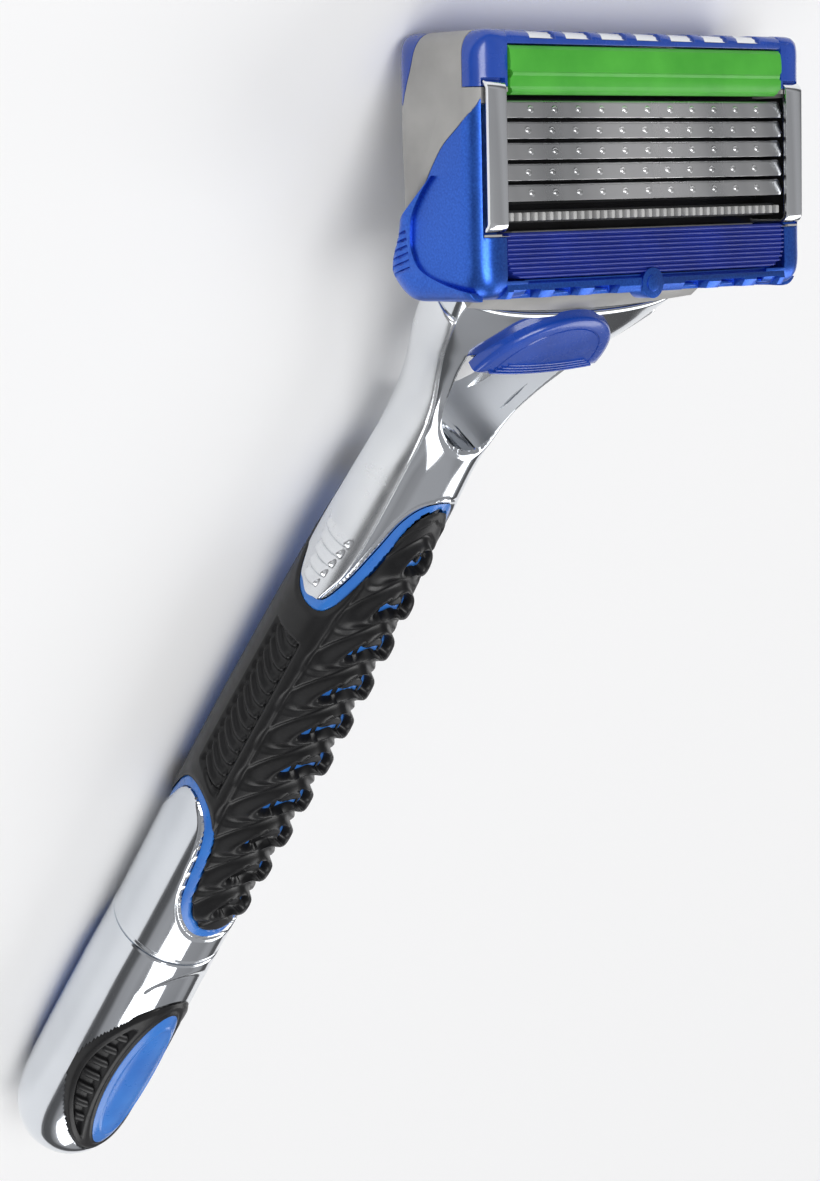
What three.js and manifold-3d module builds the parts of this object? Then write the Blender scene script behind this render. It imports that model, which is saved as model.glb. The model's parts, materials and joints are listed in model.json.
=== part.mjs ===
// Cartridge razor: a chromed handle with a soft grip, and a pivoting five-blade cartridge.
// Millimetres. The handle is modelled upright: +Z from butt to head, +Y to the blade side, X across.
// The finished razor is laid on its back, so the row frame has +Z up and the head towards -Y.
import * as THREE from 'three';
import { mergeVertices } from 'three/addons/utils/BufferGeometryUtils.js';
import Module from 'manifold-3d';

const wasm = await Module();
wasm.setup();

// Handle lengths, measured along its axis from the butt.
const handleLength = 131;
const seamHeight = 37;
const gripFrontLow = 41.1;
const gripBackLow = 49.6;
const lowerTongueTip = 58.3;
const upperTongueTip = handleLength - 43.3;
const gripBackTop = handleLength - 29.6;
const gripFrontTop = handleLength - 27.4;
const neckTop = handleLength - 25;
const windowBottom = handleLength - 21.5;

// Handle section.
const buttRadius = 6.6;
const gripRadius = 6.5;
const neckRadius = 5.0;
const axisOffset = 0.4;
const coreRadius = 3.0;
const sleeveWall = 1.1;
const linerWall = 0.9;
const linerBorder = 0.9;
const gap = 0.3;

// Head and docking end.
const headHalfWidth = 14.6;
const headHalfDepth = 3.6;
const headForward = 5.0;
const headLean = THREE.MathUtils.degToRad(15);
const dockingDip = 1.2;
const backCoverWall = 0.9;
const pocketHalfWidth = 8.6;
const pocketHalfDepth = 2.3;
const pocketLength = 8.6;

// Release button and ejector.
const buttonHalfWidth = 8.0;
const buttonHeight = 7.1;
const buttonPlate = 1.2;
const buttonTravel = 2.5;

// Cartridge.
const cartridgeWidth = 42;
const cartridgeHeight = 22.5;
const cartridgeDepth = 10.5;
const coreDepth = 4.3;
const faceAngle = THREE.MathUtils.degToRad(38.5);
const pivotReach = 5.67;
const pivotDepth = 6.0;
const pivotAboveBase = 5.0;
const trunnionRadius = 0.9;
const endBlockWidth = 5.6;
const panelWall = 1.8;
const floorWall = 1.6;
const bladeCount = 5;
const bladePitch = 1.75;
const bladeWidth = 1.5;
const bladeSheet = 0.15;
const supportSheet = 0.3;
const bladeTilt = THREE.MathUtils.degToRad(20);
const bladeReach = 18.2;
const firstBladeDrop = 6.6;
const stripTop = 1.3;
const stripHeight = 4.1;
const stripHalfWidth = 17.3;
const clipWidth = 2.2;
const clipInset = 0.9;
const clipTop = 4.2;
const clipBottom = 16.9;
const finTop = 16.9;
const finHeight = 3.9;
const combTop = 15.1;
const combHeight = 1.0;
const combPitch = 1.0;

// End cap trim.
const padCentre = 17.5;
const padHalfLength = 13;
const padHalfWidth = 6.2;
const padWall = 1.4;
const badgeHalfLength = 11.5;
const badgeHalfWidth = 3.3;
const spineHalfWidth = 4.0;
const spineTop = 35.5;
const spineBottom = 4.5;
const spineWall = 1.3;
const restFlat = 0.35;

// Helpers.

function toSolid(geometry) {
  const bare = geometry.clone();
  bare.deleteAttribute('normal');
  bare.deleteAttribute('uv');
  const merged = mergeVertices(bare, 1e-4);
  const index = merged.index.array;
  const triangles = [];
  for (let i = 0; i < index.length; i += 3) {
    const [a, b, c] = [index[i], index[i + 1], index[i + 2]];
    if (a !== b && b !== c && c !== a) triangles.push(a, b, c);
  }
  const vertProperties = new Float32Array(merged.attributes.position.array);
  const triVerts = new Uint32Array(triangles);
  return new wasm.Manifold(new wasm.Mesh({ numProp: 3, vertProperties, triVerts }));
}

function toGeometry(body) {
  const mesh = body.getMesh();
  const geometry = new THREE.BufferGeometry();
  geometry.setAttribute('position', new THREE.BufferAttribute(new Float32Array(mesh.vertProperties), 3));
  geometry.setIndex(new THREE.BufferAttribute(new Uint32Array(mesh.triVerts), 1));
  geometry.computeVertexNormals();
  return geometry;
}

// A box given by its lowest and highest corners.
function box(low, high) {
  const size = high.map((value, i) => value - low[i]);
  const geometry = new THREE.BoxGeometry(...size);
  geometry.translate(...high.map((value, i) => (value + low[i]) / 2));
  return toSolid(geometry);
}

// An outline in (y, z), extruded across X between two places.
function acrossX(outline, x0, x1) {
  const geometry = new THREE.ExtrudeGeometry(outline, { depth: x1 - x0, bevelEnabled: false });
  const turn = new THREE.Matrix4().makeBasis(
    new THREE.Vector3(0, 1, 0), new THREE.Vector3(0, 0, 1), new THREE.Vector3(1, 0, 0));
  geometry.applyMatrix4(turn);
  geometry.translate(x0, 0, 0);
  return toSolid(geometry);
}

// An outline in (x, z), extruded along Y between two places.
function alongY(outline, y0, y1) {
  const geometry = new THREE.ExtrudeGeometry(outline, { depth: y1 - y0, bevelEnabled: false });
  const turn = new THREE.Matrix4().makeBasis(
    new THREE.Vector3(1, 0, 0), new THREE.Vector3(0, 0, 1), new THREE.Vector3(0, -1, 0));
  geometry.applyMatrix4(turn);
  geometry.translate(0, y1, 0);
  return toSolid(geometry);
}

function cylinderAcross(radius, x0, x1, y, z, sides = 20) {
  const geometry = new THREE.CylinderGeometry(radius, radius, x1 - x0, sides);
  geometry.rotateZ(Math.PI / 2);
  geometry.translate((x0 + x1) / 2, y, z);
  return toSolid(geometry);
}

function polygon(points) {
  return new THREE.Shape(points.map(([a, b]) => new THREE.Vector2(a, b)));
}

// A closed outline: a smooth curve through some points, then straight through the others.
// The curve can be moved sideways, to its right as it runs.
function curveAndCorners(curvePoints, corners, steps = 24, sideways = 0) {
  const curve = new THREE.SplineCurve(curvePoints.map(([a, b]) => new THREE.Vector2(a, b)));
  const points = curve.getPoints(steps).map((point, i) => {
    const along = curve.getTangent(i / steps);
    return point.add(new THREE.Vector2(along.y, -along.x).multiplyScalar(sideways));
  });
  return new THREE.Shape([...points, ...corners.map(([a, b]) => new THREE.Vector2(a, b))]);
}

// A value that runs smoothly through a list of [place, value] pairs.
function smooth(pairs) {
  return (place) => {
    const last = pairs.length - 2;
    const found = pairs.findIndex(([start]) => start > place) - 1;
    const i = found < 0 ? (place <= pairs[0][0] ? 0 : last) : found;
    const [x0, y0] = pairs[i];
    const [x1, y1] = pairs[i + 1];
    const before = pairs[Math.max(i - 1, 0)];
    const after = pairs[Math.min(i + 2, pairs.length - 1)];
    const slope0 = (y1 - before[1]) / (x1 - before[0]);
    const slope1 = (after[1] - y0) / (after[0] - x0);
    const span = x1 - x0;
    const t = THREE.MathUtils.clamp((place - x0) / span, 0, 1);
    const blend = t * t * (3 - 2 * t);
    return y0 + (y1 - y0) * blend + span * t * (1 - t) * ((1 - t) * slope0 - t * slope1);
  };
}

// A solid skinned over rings of points that all have the same count, lowest ring first.
function skin(rings) {
  const sides = rings[0].length;
  const positions = rings.flat().flatMap((point) => point.toArray());
  const index = [];
  for (let i = 0; i < rings.length - 1; i++) {
    for (let j = 0; j < sides; j++) {
      const a = i * sides + j;
      const b = i * sides + (j + 1) % sides;
      index.push(a, b, b + sides, a, b + sides, a + sides);
    }
  }
  [rings[0], rings[rings.length - 1]].forEach((ring, end) => {
    const middle = ring.reduce((sum, point) => sum.add(point), new THREE.Vector3()).divideScalar(sides);
    const hub = positions.length / 3;
    const start = end * (rings.length - 1) * sides;
    positions.push(...middle.toArray());
    for (let j = 0; j < sides; j++) {
      const a = start + j;
      const b = start + (j + 1) % sides;
      index.push(...(end ? [hub, a, b] : [hub, b, a]));
    }
  });
  const geometry = new THREE.BufferGeometry();
  geometry.setAttribute('position', new THREE.Float32BufferAttribute(positions, 3));
  geometry.setIndex(index);
  return toSolid(geometry);
}

// One ring of a rounded section: 2 is an ellipse, and a larger exponent is squarer.
function sectionRing(halfX, halfY, centreY, z, exponent = 2, sides = 26) {
  const power = 2 / exponent;
  return Array.from({ length: sides }, (_, j) => {
    const angle = (2 * Math.PI * j) / sides;
    const c = Math.cos(angle);
    const s = Math.sin(angle);
    const x = halfX * Math.sign(c) * Math.abs(c) ** power;
    const y = halfY * Math.sign(s) * Math.abs(s) ** power;
    return new THREE.Vector3(x, centreY + y, z);
  });
}

function heights(from, to, step) {
  const count = Math.max(1, Math.round((to - from) / step));
  return Array.from({ length: count + 1 }, (_, i) => from + ((to - from) * i) / count);
}

const razor = new THREE.Group();
const handle = new THREE.Group();
const headTip = new THREE.Group();
const cartridge = new THREE.Group();

function addPart(group, name, body, colour, roughness, metalness) {
  const material = new THREE.MeshStandardMaterial({ color: colour, roughness, metalness });
  const mesh = new THREE.Mesh(toGeometry(body), material);
  mesh.name = name;
  group.add(mesh);
}

const chrome = [0xd8dde2, 0.12, 1];
const pearl = [0xe4e8ec, 0.3, 0.8];
const royalBlue = [0x1c4fc0, 0.3, 0];
const linerBlue = [0x2f7fd6, 0.35, 0];
const softBlack = [0x17181a, 0.7, 0];
const warmGrey = [0xb4b1ac, 0.55, 0];
const darkPlastic = [0x2a2c30, 0.5, 0];
const steel = [0xb9bdc0, 0.35, 1];
const stripGreen = [0x4fb82c, 0.6, 0];
const guardBlue = [0x1a2f9a, 0.6, 0];

// Places shared by the groups.

headTip.position.set(0, headForward, handleLength);
headTip.rotation.x = -headLean;
cartridge.position.set(0, 0, pivotReach);
cartridge.rotation.x = faceAngle + headLean;
const cartridgeShift = new THREE.Matrix4().makeTranslation(0, pivotDepth, cartridgeHeight - pivotAboveBase);
headTip.updateMatrix();
cartridge.updateMatrix();
const tipToHandle = headTip.matrix.clone();
const cartridgeToHandle = tipToHandle.clone().multiply(cartridge.matrix).multiply(cartridgeShift);

// The face that the razor lies on: it touches the butt's back and the cartridge's rear top edge.
const edgeCorner = new THREE.Vector3(0, -cartridgeDepth, 0).applyMatrix4(cartridgeToHandle);
const restAtEdge = edgeCorner.y + restFlat;
const restAtButt = axisOffset - buttRadius + restFlat;
const restSlope = Math.atan2(restAtButt - restAtEdge, edgeCorner.z - padCentre);

// Everything below the resting face, in the handle's frame.
function belowRest() {
  const reach = 3 * handleLength;
  const geometry = new THREE.BoxGeometry(reach, reach, reach);
  geometry.translate(0, -reach / 2, 0);
  geometry.rotateX(restSlope);
  geometry.translate(0, restAtButt, padCentre);
  return geometry;
}

// Handle surfaces.

// The handle's radius along its length: domed butt, grip, and slimmer neck.
const outerRadius = smooth([
  [0, 0.24 * buttRadius], [0.8, 0.52 * buttRadius], [2.2, 0.74 * buttRadius], [5, 0.92 * buttRadius],
  [10, buttRadius], [seamHeight - 9, buttRadius], [seamHeight, gripRadius - 0.1],
  [lowerTongueTip + 3.7, gripRadius], [upperTongueTip - 9.7, gripRadius - 0.2],
  [upperTongueTip + 2.3, gripRadius - 0.55], [neckTop - 6, neckRadius + 0.4], [neckTop + 2, neckRadius],
]);
const sectionWide = 0.98;
const sectionDeep = 1.01;

function handleLoft(from, to, inset, step = 5.5) {
  const rings = heights(from, to, step).map((z) => {
    const radius = outerRadius(z) - inset;
    return sectionRing(radius * sectionWide, radius * sectionDeep, axisOffset, z);
  });
  return skin(rings);
}

function roundRod(radius, from, to, sides = 24) {
  const rings = [from, to].map((z) => sectionRing(radius, radius, axisOffset, z, 2, sides));
  return skin(rings);
}

// An edge of the grip, given as [degrees round from the front, height] from back to front,
// seen from the side as [y, z]. It runs on level a little past the handle's back and front.
function edgeFromSide(edge) {
  const seen = edge.map(([angle, z]) => {
    const across = Math.cos(THREE.MathUtils.degToRad(angle));
    return [axisOffset + sectionDeep * outerRadius(z) * across, z];
  });
  const [backY, backZ] = seen[0];
  const [frontY, frontZ] = seen[seen.length - 1];
  return [[backY - 1, backZ], ...seen, [frontY + 1, frontZ]];
}

function upperEdge() {
  const tip = upperTongueTip;
  return edgeFromSide([
    [180, gripBackTop], [155, gripBackTop - 0.4], [136, gripBackTop - 1.5], [126, gripBackTop - 5.1],
    [118, tip + 3.6], [101, tip + 0.8], [86, tip], [72, tip + 0.5], [60, tip + 4], [50, tip + 8.6],
    [41, gripFrontTop - 3.4], [26, gripFrontTop - 1], [0, gripFrontTop],
  ]);
}

function lowerEdge() {
  const tip = lowerTongueTip;
  return edgeFromSide([
    [180, gripBackLow], [155, gripBackLow + 0.6], [128, tip - 4.7], [110, tip - 1.1], [95, tip],
    [79, tip - 0.7], [67, tip - 2.5], [61, tip - 5.3], [58, gripFrontLow + 8.1], [54, gripFrontLow + 4.7],
    [43, gripFrontLow + 2.1], [26, gripFrontLow + 0.5], [0, gripFrontLow],
  ]);
}

const wide = 30;

// What lies past an edge, up or down to a far height, with the edge moved outwards by grow.
function pastEdge(edge, far, grow) {
  const reach = wide / 2;
  const corners = [
    [reach, edge[edge.length - 1][1] - grow], [reach, far], [-reach, far], [-reach, edge[0][1] - grow],
  ];
  return acrossX(curveAndCorners(edge, corners, 42, grow), -wide, wide);
}

function aboveUpperEdge(grow) {
  return pastEdge(upperEdge(), 2 * handleLength, grow);
}

function belowLowerEdge(grow) {
  return pastEdge(lowerEdge(), -wide, -grow);
}

function gripShell(outside, inside, edgeGap) {
  const from = gripFrontLow - 4;
  const to = gripFrontTop + 4;
  return handleLoft(from, to, outside)
    .subtract(handleLoft(from - 2, to + 2, inside))
    .subtract(aboveUpperEdge(edgeGap))
    .subtract(belowLowerEdge(edgeGap));
}

function addGrip() {
  const sleeveInside = sleeveWall;
  const linerOutside = sleeveInside + gap;
  const linerInside = linerOutside + linerWall;
  addPart(handle, 'grip_sleeve', gripShell(0, sleeveInside, gap + linerBorder), ...softBlack);
  addPart(handle, 'grip_liner', gripShell(linerOutside, linerInside, gap), ...linerBlue);
  addPart(handle, 'handle_core', roundRod(coreRadius, seamHeight - 12, upperTongueTip + 10), ...darkPlastic);
}

// Lower body and end cap.

function frontOval(halfWidth, halfLength, y0, y1) {
  const oval = new THREE.Shape();
  oval.absellipse(0, padCentre, halfWidth, halfLength, 0, 2 * Math.PI);
  return alongY(oval, y0, y1);
}

function spineOutline(grow) {
  const points = [];
  const middle = (spineTop + spineBottom) / 2;
  const halfLength = (spineTop - spineBottom) / 2 + grow;
  for (let i = 0; i < 28; i++) {
    const angle = (2 * Math.PI * i) / 28;
    const x = (spineHalfWidth + grow) * Math.cos(angle);
    const z = middle + halfLength * Math.sign(Math.sin(angle)) * Math.abs(Math.sin(angle)) ** 0.8;
    points.push([x, z]);
  }
  return polygon(points);
}

function addLowerHandle() {
  const rest = toSolid(belowRest());
  const bore = roundRod(coreRadius + gap, seamHeight - 13, gripFrontTop);
  const lowerBody = handleLoft(seamHeight + gap / 2, lowerTongueTip + 2, 0)
    .intersect(belowLowerEdge(0)).subtract(bore);
  addPart(handle, 'lower_body', lowerBody, ...chrome);

  const domeHeights = [0, 0.8, 2.2, 4, 6.5, 10];
  const rings = [...domeHeights, ...heights(14, seamHeight - gap / 2, 4)].map((z) => {
    const radius = outerRadius(z);
    return sectionRing(radius * sectionWide, radius * sectionDeep, axisOffset, z);
  });
  const capOuter = skin(rings);
  const inner = handleLoft(3, seamHeight + 1, padWall + 0.01);
  const front = frontOval(padHalfWidth, padHalfLength, axisOffset + 0.8, wide);
  const badgeCut = frontOval(badgeHalfWidth + gap, badgeHalfLength + gap, 0, wide);
  const badgeBody = frontOval(badgeHalfWidth, badgeHalfLength, 0, wide);
  const shellSkin = capOuter.subtract(inner);
  const padRecess = frontOval(padHalfWidth + gap, padHalfLength + gap, axisOffset + 0.8 - gap, wide)
    .subtract(handleLoft(2, seamHeight + 1, padWall + gap));
  const underSpine = handleLoft(2, seamHeight + 1, spineWall + gap);
  const spineRecess = alongY(spineOutline(gap), -wide, 0).subtract(underSpine);
  const endCap = capOuter.subtract(padRecess).subtract(spineRecess).subtract(bore).subtract(rest);
  addPart(handle, 'end_cap', endCap, ...chrome);
  addPart(handle, 'cap_pad', shellSkin.intersect(front).subtract(badgeCut), ...softBlack);
  addPart(handle, 'cap_badge', shellSkin.intersect(front).intersect(badgeBody), ...royalBlue);
  const spine = capOuter.subtract(handleLoft(2, seamHeight + 1, spineWall))
    .intersect(alongY(spineOutline(0), -wide, 0)).subtract(rest);
  addPart(handle, 'back_spine', spine, ...royalBlue);
}

// Head.

// Half width, half depth, centre and squareness of the neck and head, along the handle.
const headSections = [
  { z: upperTongueTip - 4 }, { z: neckTop - 14 }, { z: neckTop - 9 }, { z: neckTop - 4 }, { z: neckTop },
  { z: handleLength - 21, x: 5.4, y: 4.9, c: 0.6, e: 2.1 },
  { z: handleLength - 17, x: 6.6, y: 4.6, c: 1.1, e: 2.3 },
  { z: handleLength - 13, x: 8.6, y: 4.2, c: 1.8, e: 2.6 },
  { z: handleLength - 9, x: 10.9, y: 3.9, c: 2.7, e: 3 },
  { z: handleLength - 5, x: 12.9, y: 3.7, c: 3.7, e: 3.4 },
  { z: handleLength - 2, x: 14.1, y: headHalfDepth, c: headForward - 0.55, e: 3.8 },
  { z: handleLength, x: headHalfWidth, y: headHalfDepth, c: headForward, e: 4 },
  { z: handleLength + 3, x: headHalfWidth + 0.6, y: headHalfDepth, c: headForward + 0.8, e: 4 },
];

function headLoft(inset = 0, backShift = 0) {
  return skin(headSections.map(({ z, x, y, c, e = 2 }) => {
    const halfX = (x ?? outerRadius(z) * sectionWide) - inset;
    const halfY = (y ?? outerRadius(z) * sectionDeep) - inset;
    return sectionRing(halfX, halfY, (c ?? axisOffset) + backShift, z, e);
  }));
}

// The window under the button: a teardrop from the button's tips down to a round end.
function windowOutline() {
  const top = handleLength - pocketLength;
  return curveAndCorners([
    [-buttonHalfWidth, top], [-6.9, top - 3.4], [-4.6, windowBottom + 3.4], [-2.6, windowBottom + 0.8],
    [0, windowBottom], [2.6, windowBottom + 0.8], [4.6, windowBottom + 3.4], [6.9, top - 3.4],
    [buttonHalfWidth, top],
  ], [], 32);
}

// The arc of the docking edge, which dips at the middle, with everything above it.
function aboveDocking(shift) {
  const reach = headHalfWidth + 4;
  const arc = heights(-reach, reach, reach / 8).map((x) => {
    return [x, shift - dockingDip * (1 - (x / headHalfWidth) ** 2)];
  });
  return alongY(polygon([...arc, [reach, wide], [-reach, wide]]), -wide, wide);
}

function inTip(body) {
  return toSolid(toGeometry(body).applyMatrix4(tipToHandle));
}

// The side tongues' outline in [y, z], running up the neck's flank to the head.
function tongueOutline(grow) {
  const centres = smooth(headSections.filter((section) => section.c).map(({ z, c }) => [z, c]));
  const low = upperTongueTip - grow;
  const half = 2.9 + grow;
  const [shoulder, waist, spread, crown, top] = [27, 21, 15, 5, 3].map((drop) => handleLength - drop);
  return curveAndCorners([
    [-half + 0.1, low + 7], [-2.2, low + 1.9], [-0.4, low + 0.1], [1.4, low + 1], [half + 0.4, low + 7],
    [half, shoulder], [1.4 + grow, waist], [centres(spread) + 0.2 + grow, spread],
    [centres(crown) + 0.3 + grow, crown], [centres(top), top - 0.6 + grow],
    [centres(crown) - 0.9 - grow, crown], [centres(spread) - 1.2 - grow, spread],
    [-1.6 - grow, waist], [-half + 0.4, shoulder - 1],
  ], [], 40);
}

function addHead() {
  const whole = headLoft().intersect(aboveUpperEdge(0));
  const bore = roundRod(coreRadius + gap, upperTongueTip - 18, upperTongueTip + 11);
  const pocketLow = [-pocketHalfWidth, -pocketHalfDepth, -pocketLength];
  const pocket = inTip(box(pocketLow, [pocketHalfWidth, pocketHalfDepth, 9]));
  const stemSlot = inTip(box([-3.1, 0, -pocketLength - 1], [3.1, wide, -pocketLength + 5.4]));
  const buttonLand = inTip(box([-wide, headHalfDepth - gap, -pocketLength - 1], [wide, wide, wide]));
  const docking = inTip(aboveDocking(0));
  const cutOut = alongY(windowOutline(), -wide, wide);
  const shaped = whole.subtract(bore).subtract(pocket).subtract(stemSlot).subtract(buttonLand)
    .subtract(docking).subtract(cutOut);

  const inner = headLoft(0, backCoverWall);
  const innerForGap = headLoft(0, backCoverWall + gap);
  const beyondTop = 2 * handleLength;
  const coverLow = gripBackTop - 4.1;
  const coverFront = 4.2;
  const coverZone = box([-wide, -wide, coverLow - gap], [wide, wide, beyondTop]);
  const inFront = box([-wide, coverFront + gap, 0], [wide, wide, beyondTop]);
  const coverCut = coverZone.subtract(innerForGap).subtract(inFront);
  const backCover = shaped.intersect(box([-wide, -wide, coverLow], [wide, coverFront, beyondTop]))
    .subtract(inner);

  const tongueWall = 1.3;
  const tongueInner = coreRadius + 3 * gap;
  const tonguePocket = headLoft(tongueWall + gap);
  const frame = shaped.subtract(coverCut)
    .subtract(acrossX(tongueOutline(gap), tongueInner - gap, wide).subtract(tonguePocket))
    .subtract(acrossX(tongueOutline(gap), -wide, -tongueInner + gap).subtract(tonguePocket));
  addPart(handle, 'head_frame', frame, ...chrome);
  addPart(handle, 'head_back_cover', backCover, ...darkPlastic);
  const tongueBase = whole.subtract(coverZone.subtract(innerForGap)).subtract(headLoft(tongueWall));
  const leftSide = acrossX(tongueOutline(0), tongueInner, wide);
  const rightSide = acrossX(tongueOutline(0), -wide, -tongueInner);
  addPart(handle, 'side_tongue_left', tongueBase.intersect(leftSide), ...pearl);
  addPart(handle, 'side_tongue_right', tongueBase.intersect(rightSide), ...pearl);
}

// Mechanism in the head.

const noseHalfWidth = pocketHalfWidth - gap;
const noseHalfDepth = pocketHalfDepth - gap;
const noseBottom = -2.6;
const noseTop = 3.6;
const armInner = 4.5;
const armOuter = 6.3;
const plungerHalfWidth = 1.6;
const plungerBack = -2.0;
const plungerFront = -0.5;
const plungerTip = 7.75;
const plungerFoot = 1.4;

// A compression spring whose axis is along Z, ground flat ends left out.
function coilSpring(radius, wire, from, to, turns, y) {
  class Helix extends THREE.Curve {
    getPoint(t, target = new THREE.Vector3()) {
      const angle = 2 * Math.PI * turns * t;
      const z = from + wire + (to - from - 2 * wire) * t;
      return target.set(radius * Math.cos(angle), y + radius * Math.sin(angle), z);
    }
  }
  const section = new THREE.Shape();
  section.absarc(0, 0, wire, 0, 2 * Math.PI);
  const geometry = new THREE.ExtrudeGeometry(section, {
    extrudePath: new Helix(), steps: Math.round(turns * 9), curveSegments: 2, bevelEnabled: false,
  });
  return toSolid(geometry);
}

function halfMoon(halfWidth, height, base) {
  const radius = (halfWidth ** 2 + height ** 2) / (2 * height);
  const centre = base + height - radius;
  const end = Math.atan2(base - centre, halfWidth);
  const outline = new THREE.Shape();
  outline.moveTo(-halfWidth, base);
  outline.quadraticCurveTo(0, base - 0.8, halfWidth, base);
  outline.absarc(0, centre, radius, end, Math.PI - end, false);
  return outline;
}

function addMechanism() {
  const land = headHalfDepth - gap;
  const ejectorBottom = -pocketLength + 0.4;
  const outline = halfMoon(buttonHalfWidth, buttonHeight, -pocketLength + 0.1);
  const plate = alongY(outline, land + 0.2, land + 0.2 + buttonPlate);
  const stem = box([-2.6, 2.1, ejectorBottom], [2.6, land + 0.6, ejectorBottom + 2.2]);
  addPart(headTip, 'release_button', plate.add(stem), ...royalBlue);

  const bar = box([-armOuter, -1.2, ejectorBottom], [armOuter, 1.8, ejectorBottom + 1.1]);
  const arms = [-1, 1].map((side) => {
    const [x0, x1] = [side * armInner, side * armOuter].sort((a, b) => a - b);
    return box([x0, 0.1, ejectorBottom], [x1, 1.8, noseTop - buttonTravel + 0.3]);
  });
  addPart(headTip, 'ejector_slide', bar.add(arms[0]).add(arms[1]), ...darkPlastic);
  const buttonSpring = coilSpring(0.95, 0.16, ejectorBottom + 1.3, noseBottom - 0.2, 3.5, 0.5);
  addPart(headTip, 'button_spring', buttonSpring, ...steel);

  let nose = box([-noseHalfWidth, -noseHalfDepth, noseBottom], [noseHalfWidth, noseHalfDepth, noseTop]);
  const plungerSlotLow = [-plungerHalfWidth - gap, -wide, noseBottom + 0.6];
  nose = nose.subtract(box(plungerSlotLow, [plungerHalfWidth + gap, plungerFront + gap, wide]));
  for (const side of [-1, 1]) {
    const [x0, x1] = [side * (armInner - gap), side * (armOuter + gap)].sort((a, b) => a - b);
    nose = nose.subtract(box([x0, -0.2, -wide], [x1, wide, wide]));
  }
  addPart(headTip, 'docking_nose', nose, ...darkPlastic);
  const plungerLow = [-plungerHalfWidth, plungerBack, plungerFoot];
  const plunger = box(plungerLow, [plungerHalfWidth, plungerFront, plungerTip]);
  addPart(headTip, 'plunger', plunger, ...darkPlastic);
  const springY = (plungerBack + plungerFront) / 2;
  const plungerSpring = coilSpring(0.55, 0.13, noseBottom + 0.8, plungerFoot - 0.15, 4.5, springY);
  addPart(headTip, 'plunger_spring', plungerSpring, ...steel);
}

// Connector.

const armReach = 1.35;

function addConnector() {
  const bodyHalf = headHalfWidth - 0.1;
  const bodyTop = 4.9;
  const front = headHalfDepth - gap;
  const outline = polygon([
    [-bodyHalf, -3], [bodyHalf, -3], [bodyHalf - 0.4, bodyTop - 1.2], [bodyHalf - 2.4, bodyTop],
    [-bodyHalf + 2.4, bodyTop], [-bodyHalf + 0.4, bodyTop - 1.2],
  ]);
  let body = alongY(outline, -front, front);
  body = body.intersect(aboveDocking(gap));
  const socketLow = [-pocketHalfWidth, -pocketHalfDepth, -wide];
  const socket = box(socketLow, [pocketHalfWidth, pocketHalfDepth, noseTop + 0.6]);
  const holeLow = [-plungerHalfWidth - gap, plungerBack - gap, -1];
  const plungerHole = box(holeLow, [plungerHalfWidth + gap, plungerFront + gap, wide]);
  for (const side of [-1, 1]) {
    const [x0, x1] = [side * (bodyHalf - 2.2), side * bodyHalf].sort((a, b) => a - b);
    const arm = cylinderAcross(armReach, x0, x1, 0, pivotReach)
      .add(box([x0, -armReach, 2], [x1, armReach, pivotReach]));
    const [t0, t1] = [side * (bodyHalf - 0.3), side * (bodyHalf + 2)].sort((a, b) => a - b);
    body = body.add(arm).add(cylinderAcross(trunnionRadius, t0, t1, 0, pivotReach));
  }
  addPart(headTip, 'connector', body.subtract(socket).subtract(plungerHole), ...warmGrey);
}

// Cartridge.
// Its own frame: face plane at y = 0 looking to +Y, top edge at z = 0, rear at y = -cartridgeDepth.

const halfWidth = cartridgeWidth / 2;
const blockInner = halfWidth - endBlockWidth;
const panelInner = halfWidth - panelWall;
const coverSheet = 1.1;

function placed(body) {
  return toSolid(toGeometry(body).applyMatrix4(cartridgeShift));
}

function addToCartridge(name, body, look) {
  addPart(cartridge, name, placed(body), ...look);
}

// Side outline of the whole cartridge, with rounded corners and the bulge at the lower rear.
function sideOutline(inset) {
  const front = -inset;
  const rear = -cartridgeDepth + inset;
  const top = -inset;
  const base = -cartridgeHeight + inset;
  return curveAndCorners([
    [rear + 0.4, top - 0.2], [rear, top - 1.2], [rear, -9], [rear + 0.1, -16], [rear - 0.9, -19.2],
    [rear - 0.8, -20.6], [rear + 1.2, base + 0.2], [rear + 4, base],
  ], [
    [front - 1.6, base], [front - 0.5, base + 0.5], [front, base + 1.6], [front, top - 0.6],
    [front - 0.6, top],
  ], 40);
}

// Everything below the curve that parts the blue shell from the grey side panel.
function belowSweep(shift) {
  const outline = curveAndCorners([
    [1, -6.2 + shift], [-0.8, -6.8 + shift], [-3.2, -9 + shift], [-5.6, -13.4 + shift], [-8, -16.4 + shift],
    [-10.2, -18 + shift], [-13, -19 + shift],
  ], [[-13, -wide], [1, -wide]]);
  return acrossX(outline, -wide, wide);
}

function bothSides(make) {
  return make(1).add(make(-1));
}

function slab(side, inner, outer, y0, y1, z0, z1) {
  const [x0, x1] = [side * inner, side * outer].sort((a, b) => a - b);
  return box([x0, y0, z0], [x1, y1, z1]);
}

function endSolid(side, inner, outer, outline) {
  const [x0, x1] = [side * inner, side * outer].sort((a, b) => a - b);
  return acrossX(outline, x0, x1);
}

const socketZ = -cartridgeHeight + pivotAboveBase;
const bladeWell = bladeReach + 0.4;
const floorTop = -cartridgeHeight + floorWall;
const wellFloor = -combTop + 0.1;

function capOutline() {
  const rear = -cartridgeDepth;
  return polygon([
    [0, -coverSheet], [0, -0.4], [-0.4, 0], [rear, 0], [rear, -coverSheet - 1],
    [rear + 0.8, -coverSheet - 1], [rear + 1.4, -coverSheet],
  ]);
}

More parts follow.
